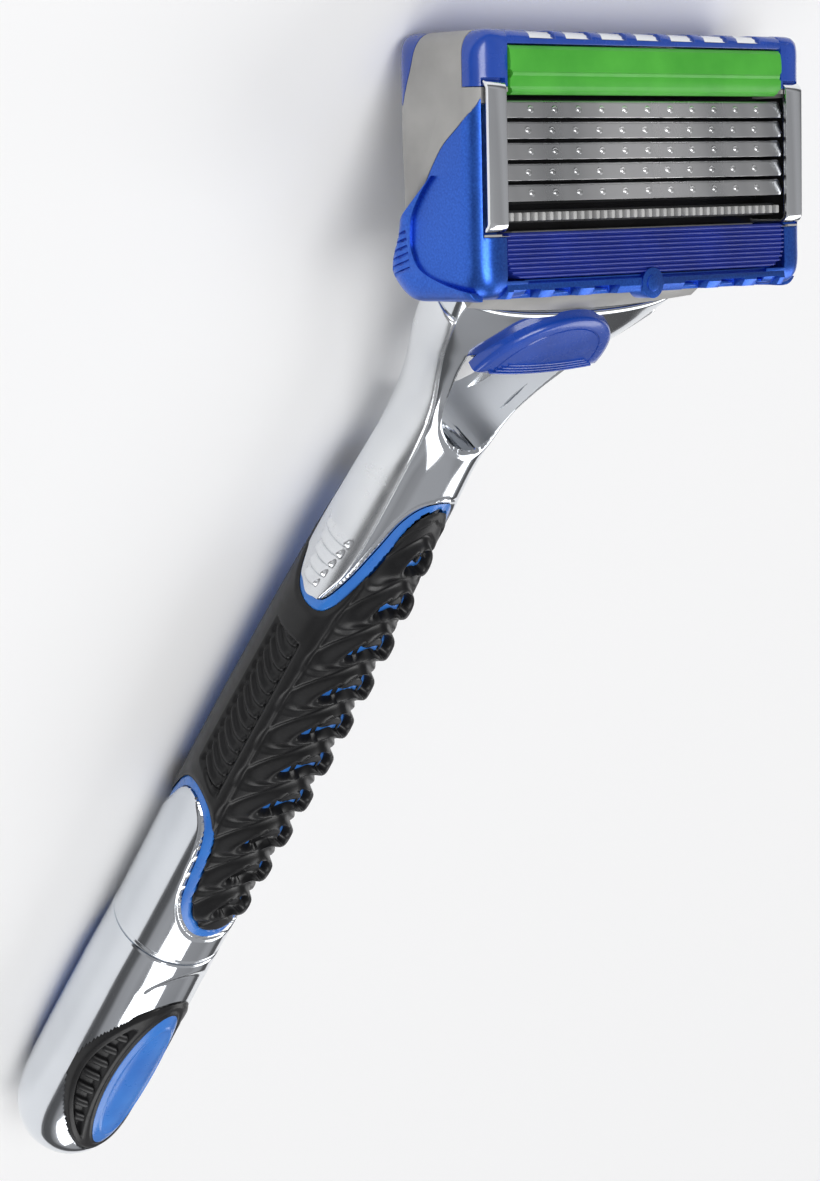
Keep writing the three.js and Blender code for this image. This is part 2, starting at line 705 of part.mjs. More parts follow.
function rearCorner(side, grow) {
  const rear = -cartridgeDepth;
  const outline = polygon([
    [rear - 1, 1], [rear + 3.2 + grow, 1], [rear + 2.6 + grow, -2], [rear + 1 + grow, -6 - grow],
    [rear - 1, -6 - grow],
  ]);
  return endSolid(side, panelInner - 1 - grow, halfWidth + 1, outline);
}

// The tray that holds the blades, with its end blocks and side panels.
function addHousing() {
  const underCover = -coverSheet - gap;
  const ends = bothSides((side) => endSolid(side, blockInner, panelInner - gap, sideOutline(gap))
    .add(endSolid(side, panelInner - gap - 0.1, halfWidth, sideOutline(0)).subtract(belowSweep(gap))));
  const tray = box([-blockInner - 1, -coreDepth, floorTop + gap], [blockInner + 1, -0.4, underCover]);
  const trimmerShelf = box([-blockInner - 1, -cartridgeDepth + 1.6, -3.6], [blockInner + 1, -1, underCover]);
  const underStrip = -stripTop - stripHeight - gap;
  const well = box([-bladeWell, -coreDepth - 1, wellFloor], [bladeWell, wide, underStrip]);
  const stripSeat = box([-stripHalfWidth - gap, -1.8, underStrip], [stripHalfWidth + gap, wide, -0.5]);
  const guardSeat = box([-panelInner, -1.9, floorTop - 1], [panelInner, wide, wellFloor]);
  const coverSeat = box([-panelInner, -wide, underCover], [panelInner, wide, wide])
    .add(box([-panelInner, -wide, underCover - 1], [panelInner, 1.4 + gap - cartridgeDepth, wide]));
  let body = ends.add(tray).add(trimmerShelf);
  body = body.subtract(well).subtract(stripSeat).subtract(guardSeat).subtract(coverSeat);
  body = body.subtract(box([-wide, -wide, -wide], [wide, wide, floorTop + gap]));
  for (const side of [-1, 1]) {
    body = body.subtract(rearCorner(side, gap));
    body = body.subtract(clipSlot(side));
    const [x0, x1] = [side * (blockInner - 2), side * (blockInner + 1.7)].sort((a, b) => a - b);
    body = body.subtract(cylinderAcross(trunnionRadius + gap, x0, x1, -pivotDepth, socketZ));
  }
  addToCartridge('blade_housing', body, warmGrey);
}

function clipSpan(side, grow) {
  const outer = halfWidth - clipInset;
  return [side * (outer - clipWidth - grow), side * (outer + grow)].sort((a, b) => a - b);
}

function clipSlot(side) {
  const [x0, x1] = clipSpan(side, gap);
  const low = -clipBottom - gap;
  const high = -clipTop + gap;
  return box([x0, -0.5, low], [x1, wide, high])
    .add(box([x0, -5, high - 1], [x1, wide, high]))
    .add(box([x0, -5, low], [x1, wide, low + 1]));
}

function addClips() {
  for (const side of [-1, 1]) {
    const [x0, x1] = clipSpan(side, 0);
    const face = box([x0, -0.1, -clipBottom], [x1, 0.3, -clipTop]);
    const upperLeg = box([x0, -4.6, -clipTop - 0.4], [x1, 0.3, -clipTop]);
    const lowerLeg = box([x0, -4.6, -clipBottom], [x1, 0.3, -clipBottom + 0.4]);
    addToCartridge(side > 0 ? 'clip_left' : 'clip_right', face.add(upperLeg).add(lowerLeg), steel);
  }
}

// The blue lower shell: floor, front lip with notches, and swept side walls.
function addGuardShell() {
  const walls = bothSides((side) => endSolid(side, panelInner, halfWidth, sideOutline(0)))
    .intersect(belowSweep(0));
  const sides = bothSides((side) => endSolid(side, blockInner, halfWidth, sideOutline(0)));
  const floorSlab = box([-halfWidth, -wide, -cartridgeHeight - 1], [halfWidth, wide, floorTop]);
  const middle = box([-blockInner - 1, -coreDepth, -cartridgeHeight], [blockInner + 1, -0.3, floorTop]);
  let body = walls.add(sides.intersect(floorSlab)).add(middle);
  const notchCount = 3;
  for (const side of [-1, 1]) {
    for (let i = 0; i < notchCount; i++) {
      const [x0, x1] = [side * (4.2 + 4.9 * i), side * (7.4 + 4.9 * i)].sort((a, b) => a - b);
      body = body.subtract(box([x0, -1.7, -wide], [x1, wide, -cartridgeHeight + 0.8]));
    }
  }
  addToCartridge('guard_shell', body.subtract(bothSides(clipSlot)), royalBlue);
}

function addCapCover() {
  const rest = toSolid(belowRest().applyMatrix4(cartridgeToHandle.clone().invert()));
  const top = acrossX(capOutline(), -panelInner + gap, panelInner - gap);
  const corners = bothSides((side) => endSolid(side, panelInner - 1, halfWidth, sideOutline(0))
    .intersect(rearCorner(side, 0)));
  const backOfTop = -cartridgeDepth + 0.6;
  const topEnds = bothSides((side) => {
    return slab(side, panelInner - 1, halfWidth - 0.4, backOfTop, -0.8, -0.7, 0)
      .intersect(endSolid(side, 0, halfWidth, sideOutline(0)));
  });
  const bothCorners = rearCorner(1, 0).add(rearCorner(-1, 0));
  let body = top.add(corners).add(topEnds.intersect(bothCorners));
  const windowCount = 7;
  const windowPitch = 4.4;
  for (let i = 0; i < windowCount; i++) {
    const x = (i - (windowCount - 1) / 2) * windowPitch;
    body = body.subtract(box([x - 1.5, -4.6, -wide], [x + 1.5, -2.6, wide]));
  }
  addToCartridge('cap_cover', body.subtract(rest), royalBlue);
}

function addTrimmer() {
  const shelf = -3.6;
  const blade = box([-12.5, -cartridgeDepth + 1.7, shelf - gap - 0.3], [12.5, -coreDepth - 1.2, shelf - gap]);
  addToCartridge('trimmer_blade', blade, steel);
  let comb = box([-13.5, -cartridgeDepth + 1.7, shelf - 1.9], [13.5, -coreDepth - 0.5, shelf - gap - 0.6]);
  const toothPitch = 1.8;
  for (let x = -11.7; x <= 11.8; x += toothPitch) {
    comb = comb.subtract(box([x - 0.45, -wide, -wide], [x + 0.45, -cartridgeDepth + 3.4, wide]));
  }
  addToCartridge('trimmer_comb', comb, guardBlue);
}

function addStrip() {
  const outline = polygon([
    [0.15, -stripTop - 0.5], [0.15, -stripTop - stripHeight + 0.5], [-0.3, -stripTop - stripHeight],
    [-1.5, -stripTop - stripHeight], [-1.5, -stripTop], [-0.3, -stripTop],
  ]);
  addToCartridge('lubricating_strip', acrossX(outline, -stripHalfWidth, stripHalfWidth), stripGreen);
}

function addGuards() {
  const width = panelInner - gap;
  const outline = polygon([[-0.2, -finTop], [0, -finTop - finHeight / 2], [-0.2, -finTop - finHeight],
    [-1.6, -finTop - finHeight], [-1.6, -finTop]]);
  addToCartridge('fin_guard', acrossX(outline, -width + 1, width - 1), guardBlue);
  let comb = box([-bladeReach, -1.6, -combTop - combHeight], [bladeReach, -0.9, -combTop]);
  for (let x = -bladeReach + 0.7; x < bladeReach - 0.5; x += combPitch) {
    comb = comb.add(box([x - 0.25, -1.2, -combTop - combHeight], [x + 0.25, -0.1, -combTop - 0.2]));
  }
  addToCartridge('comb_guard', comb, warmGrey);
}

// One blade: a thin strip whose cutting edge lies in the face plane, on a bent support.
function addBlades() {
  for (let i = 0; i < bladeCount; i++) {
    const drop = -(firstBladeDrop + i * bladePitch);
    const tilt = ([y, z]) => [
      y * Math.cos(bladeTilt) - z * Math.sin(bladeTilt),
      y * Math.sin(bladeTilt) + z * Math.cos(bladeTilt) + drop,
    ];
    const halfStrip = bladeWidth / 2;
    const strip = [[0, -halfStrip], [0, halfStrip], [-bladeSheet, halfStrip], [-bladeSheet, -halfStrip]];
    const back = -bladeSheet - 0.12;
    const leg = 2.6;
    const support = [[back, -halfStrip + 0.5], [back, halfStrip], [back - supportSheet, halfStrip],
      [back - supportSheet, -halfStrip + 0.5]];
    const seat = -0.35;
    const moved = ([y, z]) => [tilt([y, z])[0] + seat, tilt([y, z])[1]];
    addToCartridge(`blade_${i + 1}`, acrossX(polygon(strip.map(moved)), -bladeReach, bladeReach), steel);
    const bent = support.map(moved);
    const [p0, p1, p2, p3] = bent;
    const legOutline = polygon([
      p0, p1, p2, p3, [p3[0] - leg, p3[1]], [p3[0] - leg, p3[1] - supportSheet],
      [p3[0] + 0.05, p3[1] - supportSheet],
    ]);
    addToCartridge(`blade_support_${i + 1}`, acrossX(legOutline, -bladeReach, bladeReach), steel);
  }
}

// Assembly.

addGrip();
addLowerHandle();
addHead();
addMechanism();
addConnector();
addHousing();
addGuardShell();
addCapCover();
addTrimmer();
addStrip();
addGuards();
addClips();
addBlades();

headTip.add(cartridge);
handle.add(headTip);
razor.add(handle);
handle.rotation.x = Math.PI / 2 - restSlope;

// The origin is on the resting face, under the middle of the razor.
razor.updateMatrixWorld(true);
const bounds = new THREE.Box3().setFromObject(razor, true);
razor.position.set(0, -(bounds.min.y + bounds.max.y) / 2, -bounds.min.z);

export default razor;
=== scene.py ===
import json
import math
from functools import partial

import bpy
from mathutils import Matrix, Vector
from mathutils.kdtree import KDTree

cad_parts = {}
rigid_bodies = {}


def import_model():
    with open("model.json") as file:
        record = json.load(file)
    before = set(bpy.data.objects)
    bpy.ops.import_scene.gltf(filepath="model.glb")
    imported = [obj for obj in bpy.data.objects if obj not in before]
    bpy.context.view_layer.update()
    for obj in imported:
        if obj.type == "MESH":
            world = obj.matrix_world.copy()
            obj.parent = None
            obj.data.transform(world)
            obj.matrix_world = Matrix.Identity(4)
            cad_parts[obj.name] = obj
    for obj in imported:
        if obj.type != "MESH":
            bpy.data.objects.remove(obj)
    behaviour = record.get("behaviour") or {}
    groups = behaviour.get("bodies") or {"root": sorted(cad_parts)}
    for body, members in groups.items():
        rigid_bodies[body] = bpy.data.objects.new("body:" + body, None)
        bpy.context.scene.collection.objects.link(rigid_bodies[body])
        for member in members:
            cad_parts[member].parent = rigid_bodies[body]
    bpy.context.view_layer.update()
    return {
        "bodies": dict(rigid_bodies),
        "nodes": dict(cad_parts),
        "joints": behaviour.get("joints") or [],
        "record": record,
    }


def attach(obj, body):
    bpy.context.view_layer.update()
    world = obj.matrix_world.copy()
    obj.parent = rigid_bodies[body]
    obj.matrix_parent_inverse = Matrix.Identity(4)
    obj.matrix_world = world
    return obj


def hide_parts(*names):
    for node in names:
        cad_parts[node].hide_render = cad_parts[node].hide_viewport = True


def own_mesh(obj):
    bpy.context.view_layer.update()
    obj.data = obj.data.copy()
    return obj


for leftover in list(bpy.data.objects):
    bpy.data.objects.remove(leftover)
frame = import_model()
print("frame loaded", len(frame["nodes"]), "nodes")

# The frames of the handle, the docking tip and the cartridge's face, all taken from the joints.
# Pieces are shaped in millimetres in one of these and set down in metres.
mm = 0.001
frameSizes = {"handleLength": 131, "headForward": 5, "headLean": 15, "pivotReach": 5.67,
              "pivotDepth": 6.0, "pivotDrop": 17.5}


def jointNamed(name):
    return next(joint for joint in frame["joints"] if joint["name"] == name)


def placeFrom(origin, across, forward, up):
    turn = Matrix((across, forward, up)).transposed().to_4x4()
    return Matrix.Translation(origin) @ turn @ Matrix.Scale(mm, 4)


def findPlaces():
    tipAxis = Vector(jointNamed("cartridge_release")["axis"]).normalized()
    pivot = Vector(jointNamed("cartridge_pivot")["pos_m"])
    faceNormal = -Vector(jointNamed("blade_float_1")["axis"]).normalized()
    across = Vector((1, 0, 0))
    lean = math.atan2(tipAxis.z, -tipAxis.y) - math.radians(frameSizes["headLean"])
    along = Vector((0, -math.cos(lean), math.sin(lean)))
    front = Vector((0, math.sin(lean), math.cos(lean)))
    tipFront = Vector((0, tipAxis.z, -tipAxis.y))
    faceUp = Vector((0, -faceNormal.z, faceNormal.y))
    tipOrigin = pivot - frameSizes["pivotReach"] * mm * tipAxis
    butt = tipOrigin - frameSizes["headForward"] * mm * front - frameSizes["handleLength"] * mm * along
    faceOrigin = pivot + frameSizes["pivotDepth"] * mm * faceNormal + frameSizes["pivotDrop"] * mm * faceUp
    return {
        "handle": placeFrom(butt, across, front, along),
        "tip": placeFrom(tipOrigin, across, tipFront, tipAxis),
        "face": placeFrom(faceOrigin, across, faceNormal, faceUp),
    }


places = findPlaces()


# Small tools for shaping.

def pickOnly(*chosen):
    if bpy.context.mode != "OBJECT":
        bpy.ops.object.mode_set(mode="OBJECT")
    bpy.ops.object.select_all(action="DESELECT")
    for piece in chosen:
        piece.select_set(True)
    if chosen:
        bpy.context.view_layer.objects.active = chosen[0]


def inEdit(piece, *steps):
    pickOnly(piece)
    bpy.ops.object.mode_set(mode="EDIT")
    bpy.ops.mesh.select_all(action="SELECT")
    for step in steps:
        step()
    bpy.ops.object.mode_set(mode="OBJECT")
    return piece


def faceOut():
    bpy.ops.mesh.normals_make_consistent(inside=False)


def weld():
    bpy.ops.mesh.remove_doubles(threshold=0.0005)


def closeEnds():
    bpy.ops.mesh.select_all(action="DESELECT")
    bpy.ops.mesh.select_non_manifold(extend=False)
    bpy.ops.mesh.fill_holes(sides=0)
    bpy.ops.mesh.select_all(action="SELECT")


def apply(piece, kind, **settings):
    pickOnly(piece)
    modifier = piece.modifiers.new(kind.title(), kind)
    for key, value in settings.items():
        setattr(modifier, key, value)
    bpy.ops.object.modifier_apply(modifier=modifier.name)
    return piece


def softEdges(piece, width, segments=2, angle=32):
    return apply(piece, "BEVEL", width=width, segments=segments, limit_method="ANGLE",
                 angle_limit=math.radians(angle), use_clamp_overlap=True)


def cut(piece, *cutters, how="DIFFERENCE"):
    for cutter in cutters:
        apply(piece, "BOOLEAN", object=cutter, operation=how, solver="EXACT")
        bpy.data.objects.remove(cutter)
    return piece


def copyOf(piece):
    double = piece.copy()
    double.data = piece.data.copy()
    bpy.context.scene.collection.objects.link(double)
    return double


def joined(*parts):
    pickOnly(*parts)
    if len(parts) > 1:
        bpy.ops.object.join()
    return parts[0]


def mirrored(piece):
    double = copyOf(piece)
    double.data.transform(Matrix.Scale(-1, 4, (1, 0, 0)))
    return inEdit(double, faceOut)


def setDown(piece, name, finish, stand, smoothAngle, place="handle", body="handle"):
    # finishes a piece that was shaped in one of the frames, in place of the CAD node it stands for
    piece.data.transform(places[place])
    for vertex in piece.data.vertices:
        vertex.co.z = max(vertex.co.z, 0.0)  # nothing reaches under the face that the razor lies on
    pickOnly(piece)
    bpy.ops.object.shade_smooth_by_angle(angle=math.radians(smoothAngle))
    piece.name = name
    piece.data.name = name
    piece.data.materials.clear()
    piece.data.materials.append(finishes[finish])
    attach(piece, body)
    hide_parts(stand)


def onCartridge(piece, name, finish, stand, smoothAngle):
    setDown(piece, name, finish, stand, smoothAngle, "face", "cartridge")


# Finishes. Patterns read Object coordinates, which are metres in the row frame.

def newFinish(name, colour, roughness, metallic=0.0, **extra):
    finish = bpy.data.materials.new(name)
    finish.use_nodes = True
    shader = finish.node_tree.nodes["Principled BSDF"]
    shader.inputs["Base Color"].default_value = (*colour, 1)
    shader.inputs["Roughness"].default_value = roughness
    shader.inputs["Metallic"].default_value = metallic
    for key, value in extra.items():
        shader.inputs[key].default_value = value
    return finish


def grain(finish, scale, squeeze=(1, 1, 1), detail=3, seed=0.0):
    nodes = finish.node_tree.nodes
    links = finish.node_tree.links
    where = nodes.new("ShaderNodeTexCoord")
    mapping = nodes.new("ShaderNodeMapping")
    mapping.inputs["Scale"].default_value = squeeze
    mapping.inputs["Location"].default_value = (seed, seed, seed)
    noise = nodes.new("ShaderNodeTexNoise")
    noise.inputs["Scale"].default_value = scale
    noise.inputs["Detail"].default_value = detail
    links.new(where.outputs["Object"], mapping.inputs["Vector"])
    links.new(mapping.outputs["Vector"], noise.inputs["Vector"])
    return noise.outputs["Fac"]


def tint(finish, factor, low, high):
    nodes = finish.node_tree.nodes
    ramp = nodes.new("ShaderNodeValToRGB")
    ramp.color_ramp.elements[0].position = 0.3
    ramp.color_ramp.elements[0].color = (*low, 1)
    ramp.color_ramp.elements[1].position = 0.7
    ramp.color_ramp.elements[1].color = (*high, 1)
    finish.node_tree.links.new(factor, ramp.inputs["Fac"])
    finish.node_tree.links.new(ramp.outputs["Color"], nodes["Principled BSDF"].inputs["Base Color"])


def roughen(finish, factor, low, high):
    nodes = finish.node_tree.nodes
    spread = nodes.new("ShaderNodeMapRange")
    spread.inputs["From Min"].default_value = 0.3
    spread.inputs["From Max"].default_value = 0.7
    spread.inputs["To Min"].default_value = low
    spread.inputs["To Max"].default_value = high
    finish.node_tree.links.new(factor, spread.inputs["Value"])
    finish.node_tree.links.new(spread.outputs["Result"], nodes["Principled BSDF"].inputs["Roughness"])


def bump(finish, factor, strength, distance):
    nodes = finish.node_tree.nodes
    relief = nodes.new("ShaderNodeBump")
    relief.inputs["Strength"].default_value = strength
    relief.inputs["Distance"].default_value = distance
    finish.node_tree.links.new(factor, relief.inputs["Height"])
    finish.node_tree.links.new(relief.outputs["Normal"], nodes["Principled BSDF"].inputs["Normal"])


def mouldedFinish(name, low, high, roughness, grainScale=9000, relief=0.15, **extra):
    finish = newFinish(name, high, roughness, **extra)
    tint(finish, grain(finish, 220, seed=0.3), low, high)
    roughen(finish, grain(finish, 900), roughness * 0.88, roughness * 1.12)
    bump(finish, grain(finish, grainScale, detail=2), relief, 0.00002)
    return finish


def metalFinish(name, low, high, rough0, rough1, squeeze=(1, 1, 1), scale=60, relief=0.0, **extra):
    finish = newFinish(name, high, rough0, metallic=1.0, **extra)
    tint(finish, grain(finish, scale, squeeze, seed=0.7), low, high)
    roughen(finish, grain(finish, 300, squeeze), rough0, rough1)
    if relief:
        bump(finish, grain(finish, 1200, squeeze, detail=2), relief, 0.00001)
    return finish


finishes = {
    "chrome": metalFinish("polishedChrome", (0.66, 0.69, 0.73), (0.76, 0.79, 0.83), 0.06, 0.10),
    "pearl": metalFinish("pearlChrome", (0.72, 0.74, 0.77), (0.82, 0.84, 0.86), 0.22, 0.28),
    "royalBlue": mouldedFinish("royalBlueGloss", (0.008, 0.052, 0.34), (0.011, 0.070, 0.44), 0.26, 6000,
                               0.05, **{"Coat Weight": 0.5, "Coat Roughness": 0.12}),
    "shellBlue": metalFinish("shellBlueSatin", (0.025, 0.10, 0.52), (0.04, 0.16, 0.68), 0.34, 0.42,
                             scale=5000, relief=0.2, **{"Coat Weight": 0.25, "Coat Roughness": 0.25}),
    "linerBlue": mouldedFinish("linerBlueGloss", (0.020, 0.15, 0.56), (0.035, 0.22, 0.70), 0.30, 5000, 0.05,
                               **{"Coat Weight": 0.4, "Coat Roughness": 0.15}),
    "guardBlue": mouldedFinish("guardBlueElastomer", (0.012, 0.028, 0.26), (0.016, 0.040, 0.36), 0.40, 7000,
                               0.1),
    "softBlack": mouldedFinish("softBlackElastomer", (0.005, 0.005, 0.0055), (0.0085, 0.0085, 0.0095),
                               0.37, 8000, 0.25, **{"Specular IOR Level": 0.38}),
    "warmGrey": mouldedFinish("warmGreySatin", (0.33, 0.325, 0.315), (0.42, 0.415, 0.40), 0.40, 7000, 0.35),
    "darkPlastic": mouldedFinish("darkMoulding", (0.022, 0.023, 0.025), (0.035, 0.036, 0.04), 0.38, 6000,
                                 0.2),
    "coverGrey": metalFinish("coverGrey", (0.09, 0.10, 0.11), (0.13, 0.14, 0.16), 0.22, 0.30),
    # blade steel: its colour runs from dark grey to near white in long bands along X, a painted reflection of
    # the light and dark bands that polished blades reflect
    "bladeSteelReflectionBands": metalFinish("bladeSteelPaintedReflection", (0.40, 0.41, 0.42), (0.97, 0.97, 0.97), 0.24, 0.34,
                              squeeze=(1, 0.05, 0.05), scale=90),
    "supportSteel": metalFinish("bentSupportSteel", (0.20, 0.20, 0.21), (0.30, 0.30, 0.31), 0.35, 0.45),
    "springSteel": metalFinish("springWire", (0.45, 0.46, 0.48), (0.56, 0.57, 0.59), 0.25, 0.35),
    "clipMetal": metalFinish("polishedClip", (0.78, 0.80, 0.83), (0.88, 0.90, 0.92), 0.10, 0.16),
    "stripGreen": mouldedFinish("waxyGreen", (0.055, 0.38, 0.030), (0.085, 0.48, 0.045), 0.45, 4000, 0.3,
                                **{"Subsurface Weight": 0.1, "Subsurface Radius": (0.0006, 0.001, 0.0004)}),
    "combBlack": mouldedFinish("combBlack", (0.008, 0.008, 0.009), (0.013, 0.013, 0.014), 0.35, 6000, 0.1),
    "toothGrey": mouldedFinish("combToothGrey", (0.42, 0.42, 0.41), (0.55, 0.55, 0.54), 0.35, 6000, 0.1),
}
print("finishes made", len(finishes))


# The handle's skin, as a radius round its axis. Angles are in degrees from the front, and heights in
# millimetres from the butt. The edges are those of the grip, as angle and height.
handle = {
    "radii": [(0, 0.4), (0.25, 1.7), (0.8, 3.05), (2.2, 4.75), (5, 6.1), (10, 6.6), (28, 6.6), (37, 6.4),
              (62, 6.5), (78, 6.3), (90, 5.95), (100, 5.4), (108, 5.0), (112, 5.0)],
    "axisOffset": 0.4,
    "wide": 0.98,
    "deep": 1.01,
    "seam": 37.0,
    "upperEdge": [(180, 101.4), (155, 101.0), (136, 99.9), (126, 96.3), (118, 91.3), (101, 88.5), (86, 87.7),
                  (72, 88.2), (60, 91.7), (50, 96.3), (41, 100.2), (26, 102.6), (0, 103.6)],
    "lowerEdge": [(180, 49.6), (155, 50.2), (128, 53.6), (110, 57.2), (95, 58.3), (79, 57.6), (67, 55.8),
                  (61, 53), (58, 49.2), (54, 45.8), (43, 43.2), (26, 41.6), (0, 41.1)],
}


def ease(t):
    t = min(max(t, 0.0), 1.0)
    return t * t * (3 - 2 * t)


def smooth(pairs):
    # an even curve through pairs of place and value
    def value(place):
        if place <= pairs[0][0]:
            return pairs[0][1]
        if place >= pairs[-1][0]:
            return pairs[-1][1]
        i = next(k for k in range(len(pairs) - 1) if pairs[k + 1][0] > place)
        (x0, y0), (x1, y1) = pairs[i], pairs[i + 1]
        before = pairs[max(i - 1, 0)]
        after = pairs[min(i + 2, len(pairs) - 1)]
        slope0 = (y1 - before[1]) / (x1 - before[0])
        slope1 = (after[1] - y0) / (after[0] - x0)
        length = x1 - x0
        t = (place - x0) / length
        return y0 + (y1 - y0) * ease(t) + length * t * (1 - t) * ((1 - t) * slope0 - t * slope1)
    return value


def tabled(function, low, high, count=600):
    # the same curve, read from an even row of samples
    samples = [function(low + (high - low) * i / count) for i in range(count + 1)]

    def value(place):
        t = min(max((place - low) / (high - low), 0), 1) * count
        i = min(int(t), count - 1)
        return samples[i] + (samples[i + 1] - samples[i]) * (t - i)
    return value


radiusAt = tabled(smooth(handle["radii"]), 0, handle["radii"][-1][0], 1200)


def onHandle(angle, s, lift=0.0):
    turn = math.radians(angle)
    radius = radiusAt(s) + lift
    return Vector((handle["wide"] * radius * math.sin(turn),
                   handle["axisOffset"] + handle["deep"] * radius * math.cos(turn), s))


def curveThrough(points, steps=10):
    # a smooth run of points through the given ones
    run = []
    for i in range(len(points) - 1):
        p0, p1, p2, p3 = (Vector(points[min(max(k, 0), len(points) - 1)]) for k in range(i - 1, i + 3))
        for j in range(steps):
            t = j / steps
            run.append(0.5 * (2 * p1 + (p2 - p0) * t + (2 * p0 - 5 * p1 + 4 * p2 - p3) * t * t
                              + (3 * p1 - p0 - 3 * p2 + p3) * t ** 3))
    run.append(Vector(points[-1]))
    return run


def curved(points, steps):
    return [(point.x, point.y) for point in curveThrough(points, steps)]


def bothSides(right):
    # an outline closed by the mirror image of its right side
    return right + [(-x, z) for x, z in reversed(right)]


def evenly(points, count):
    # a run of points cut into even steps, without its last point
    lengths = [0.0]
    for a, b in zip(points, points[1:]):
        lengths.append(lengths[-1] + (b - a).length)
    steps, j = [], 0
    for i in range(count):
        want = lengths[-1] * i / count
        while lengths[j + 1] < want:
            j += 1
        t = (want - lengths[j]) / max(lengths[j + 1] - lengths[j], 1e-9)
        steps.append(points[j].lerp(points[j + 1], t))
    return steps


def treeOf(points):
    # for the distance to the nearest of the points
    tree = KDTree(len(points))
    for i, point in enumerate(points):
        tree.insert((point[0], point[1], 0), i)
    tree.balance()
    return tree


def unrolled(edge):
    # the edge as arc length round the handle and height
    return [Vector((math.radians(angle) * radiusAt(s), s)) for angle, s in curveThrough(edge)]


def shifted(line, amount):
    # a line moved to its right as it runs
    moved = []
    for i, point in enumerate(line):
        run = (line[min(i + 1, len(line) - 1)] - line[max(i - 1, 0)]).normalized()
        moved.append(point + amount * Vector((run.y, -run.x)))
    return moved


def slab(outline, low, high, across="X"):
    # an outline given a thickness across X, or along Y for one drawn in x and z
    bpy.ops.mesh.primitive_circle_add(vertices=len(outline), radius=1, fill_type="NGON")
    piece = bpy.context.object
    for vertex, (a, b) in zip(piece.data.vertices, outline):
        vertex.co = (a, b, low)
    inEdit(piece, lambda: bpy.ops.mesh.extrude_region_move(
        TRANSFORM_OT_translate={"value": (0, 0, high - low)}))
    orders = {"X": ((0, 0, 1), (1, 0, 0), (0, 1, 0)), "Y": ((1, 0, 0), (0, 0, 1), (0, 1, 0))}
    piece.data.transform(Matrix(orders[across]).to_4x4())
    return inEdit(piece, faceOut)


def block(low, high):
    bpy.ops.mesh.primitive_cube_add(size=1)
    piece = bpy.context.object
    for vertex in piece.data.vertices:
        vertex.co = [low[i] + (vertex.co[i] + 0.5) * (high[i] - low[i]) for i in range(3)]
    return piece


def span(side, a, b):
    # a stretch along X on one side, its lower end first
    return sorted((side * a, side * b))


def sideBlock(side, low, high):
    # a block on one side, with x in its corners given as if it were on the right
    x0, x1 = span(side, low[0], high[0])
    return block((x0, *low[1:]), (x1, *high[1:]))


def rod(radius, low, high, centre, along="Z", sides=32):
    bpy.ops.mesh.primitive_cylinder_add(vertices=sides, radius=radius, depth=high - low)
    piece = bpy.context.object
    piece.data.transform(Matrix.Translation((0, 0, (low + high) / 2)))
    turns = {"Z": Matrix.Identity(4), "X": Matrix.Rotation(math.pi / 2, 4, "Y"),
             "Y": Matrix.Rotation(-math.pi / 2, 4, "X")}
    piece.data.transform(turns[along])
    piece.data.transform(Matrix.Translation(centre))
    return piece


def wrapped(columns, rows, surface, ends=True):
    # a grid laid on a surface; u runs round it and v along it
    bpy.ops.mesh.primitive_grid_add(x_subdivisions=columns, y_subdivisions=rows, size=1)
    piece = bpy.context.object
    for vertex in piece.data.vertices:
        vertex.co = surface(vertex.co.x + 0.5, vertex.co.y + 0.5)
    inEdit(piece, weld)
    if ends:
        inEdit(piece, closeEnds)
    return inEdit(piece, faceOut)


def tube(lift, low, high, columns, rows):
    # a closed solid with the handle's outline
    return wrapped(columns, rows, lambda u, v: onHandle(360 * u - 180, low + (high - low) * v, lift))


farUp = 140  # a height past the handle's end


def beyondEdge(edge, amount, farSide):
    # everything past an edge of the grip, on the side of the given height
    line = shifted(unrolled(edge), -amount if farSide == farUp else amount)
    outline = []
    for arc, s in line:
        angle = min(max(arc / radiusAt(s), 0), math.pi)
        outline.append((handle["axisOffset"] + handle["deep"] * radiusAt(s) * math.cos(angle), s))
    first, last = outline[0], outline[-1]
    outline = [(-12, first[1])] + outline + [(12, last[1]), (12, farSide), (-12, farSide)]
    return slab(outline, -20, 20)


# The grip: a black sleeve with arched eyelets, over a blue liner that shows through them.
grip = {
    "low": 33.0, "high": 111.0, "columns": 230, "rows": 400, "frontShare": 0.62, "meanRadius": 6.4,
    "wall": 1.1, "border": 1.2, "smoothAngle": 78,
    "linerColumns": 170, "linerRows": 260, "linerGap": 0.1, "linerWall": 0.9,
    "linerDepth": 0.28, "linerUnder": 1.3, "linerShow": 0.42,
    "eyelets": 10, "pitch": 5.44, "firstApex": 96.4, "archSlope": 0.80, "archRound": 0.7,
    "reach": [4.3, 5.2, 5.8, 6.2, 6.2, 6.2, 6.1, 5.9, 5.5, 4.9],
    "halfHeight": 2.62, "windowHalf": 1.46, "hood": 2.7, "rimRise": 0.74, "rimDip": 0.12, "groove": 0.30,
    "grooveWidth": 0.14, "floor": 0.92, "bridges": (1.75, 1.15), "bridgeHalf": 0.22, "bridgeDrop": 0.22,
    "bridgedEyelets": 7, "frontAngle": 62,
    "fingerInset": 1.25, "fingerHalf": 0.95, "fingerTop": 0.12,
    "channel": (68, 106), "channelLow": 60.3, "channelHigh": 82.4, "channelSlant": 1.6, "channelDepth": 0.55,
    "ribs": 13, "ribPitch": 1.68, "ribHalf": 0.50, "ribRise": 0.42, "ribSmile": 0.9, "ribInset": 0.8,
    "ridge": [(41.5, 0), (42.3, 16), (44.5, 36), (49, 50), (60, 57), (75, 57), (84, 52), (90, 46), (96, 36),
              (99.5, 22), (101, 0)],
    "backStrip": 35, "stripLow": 56, "stripHigh": 96, "stripDepth": 0.5,
}
meanRadius = grip["meanRadius"]
ridgeLow, ridgeHigh = grip["ridge"][0][0], grip["ridge"][-1][0]
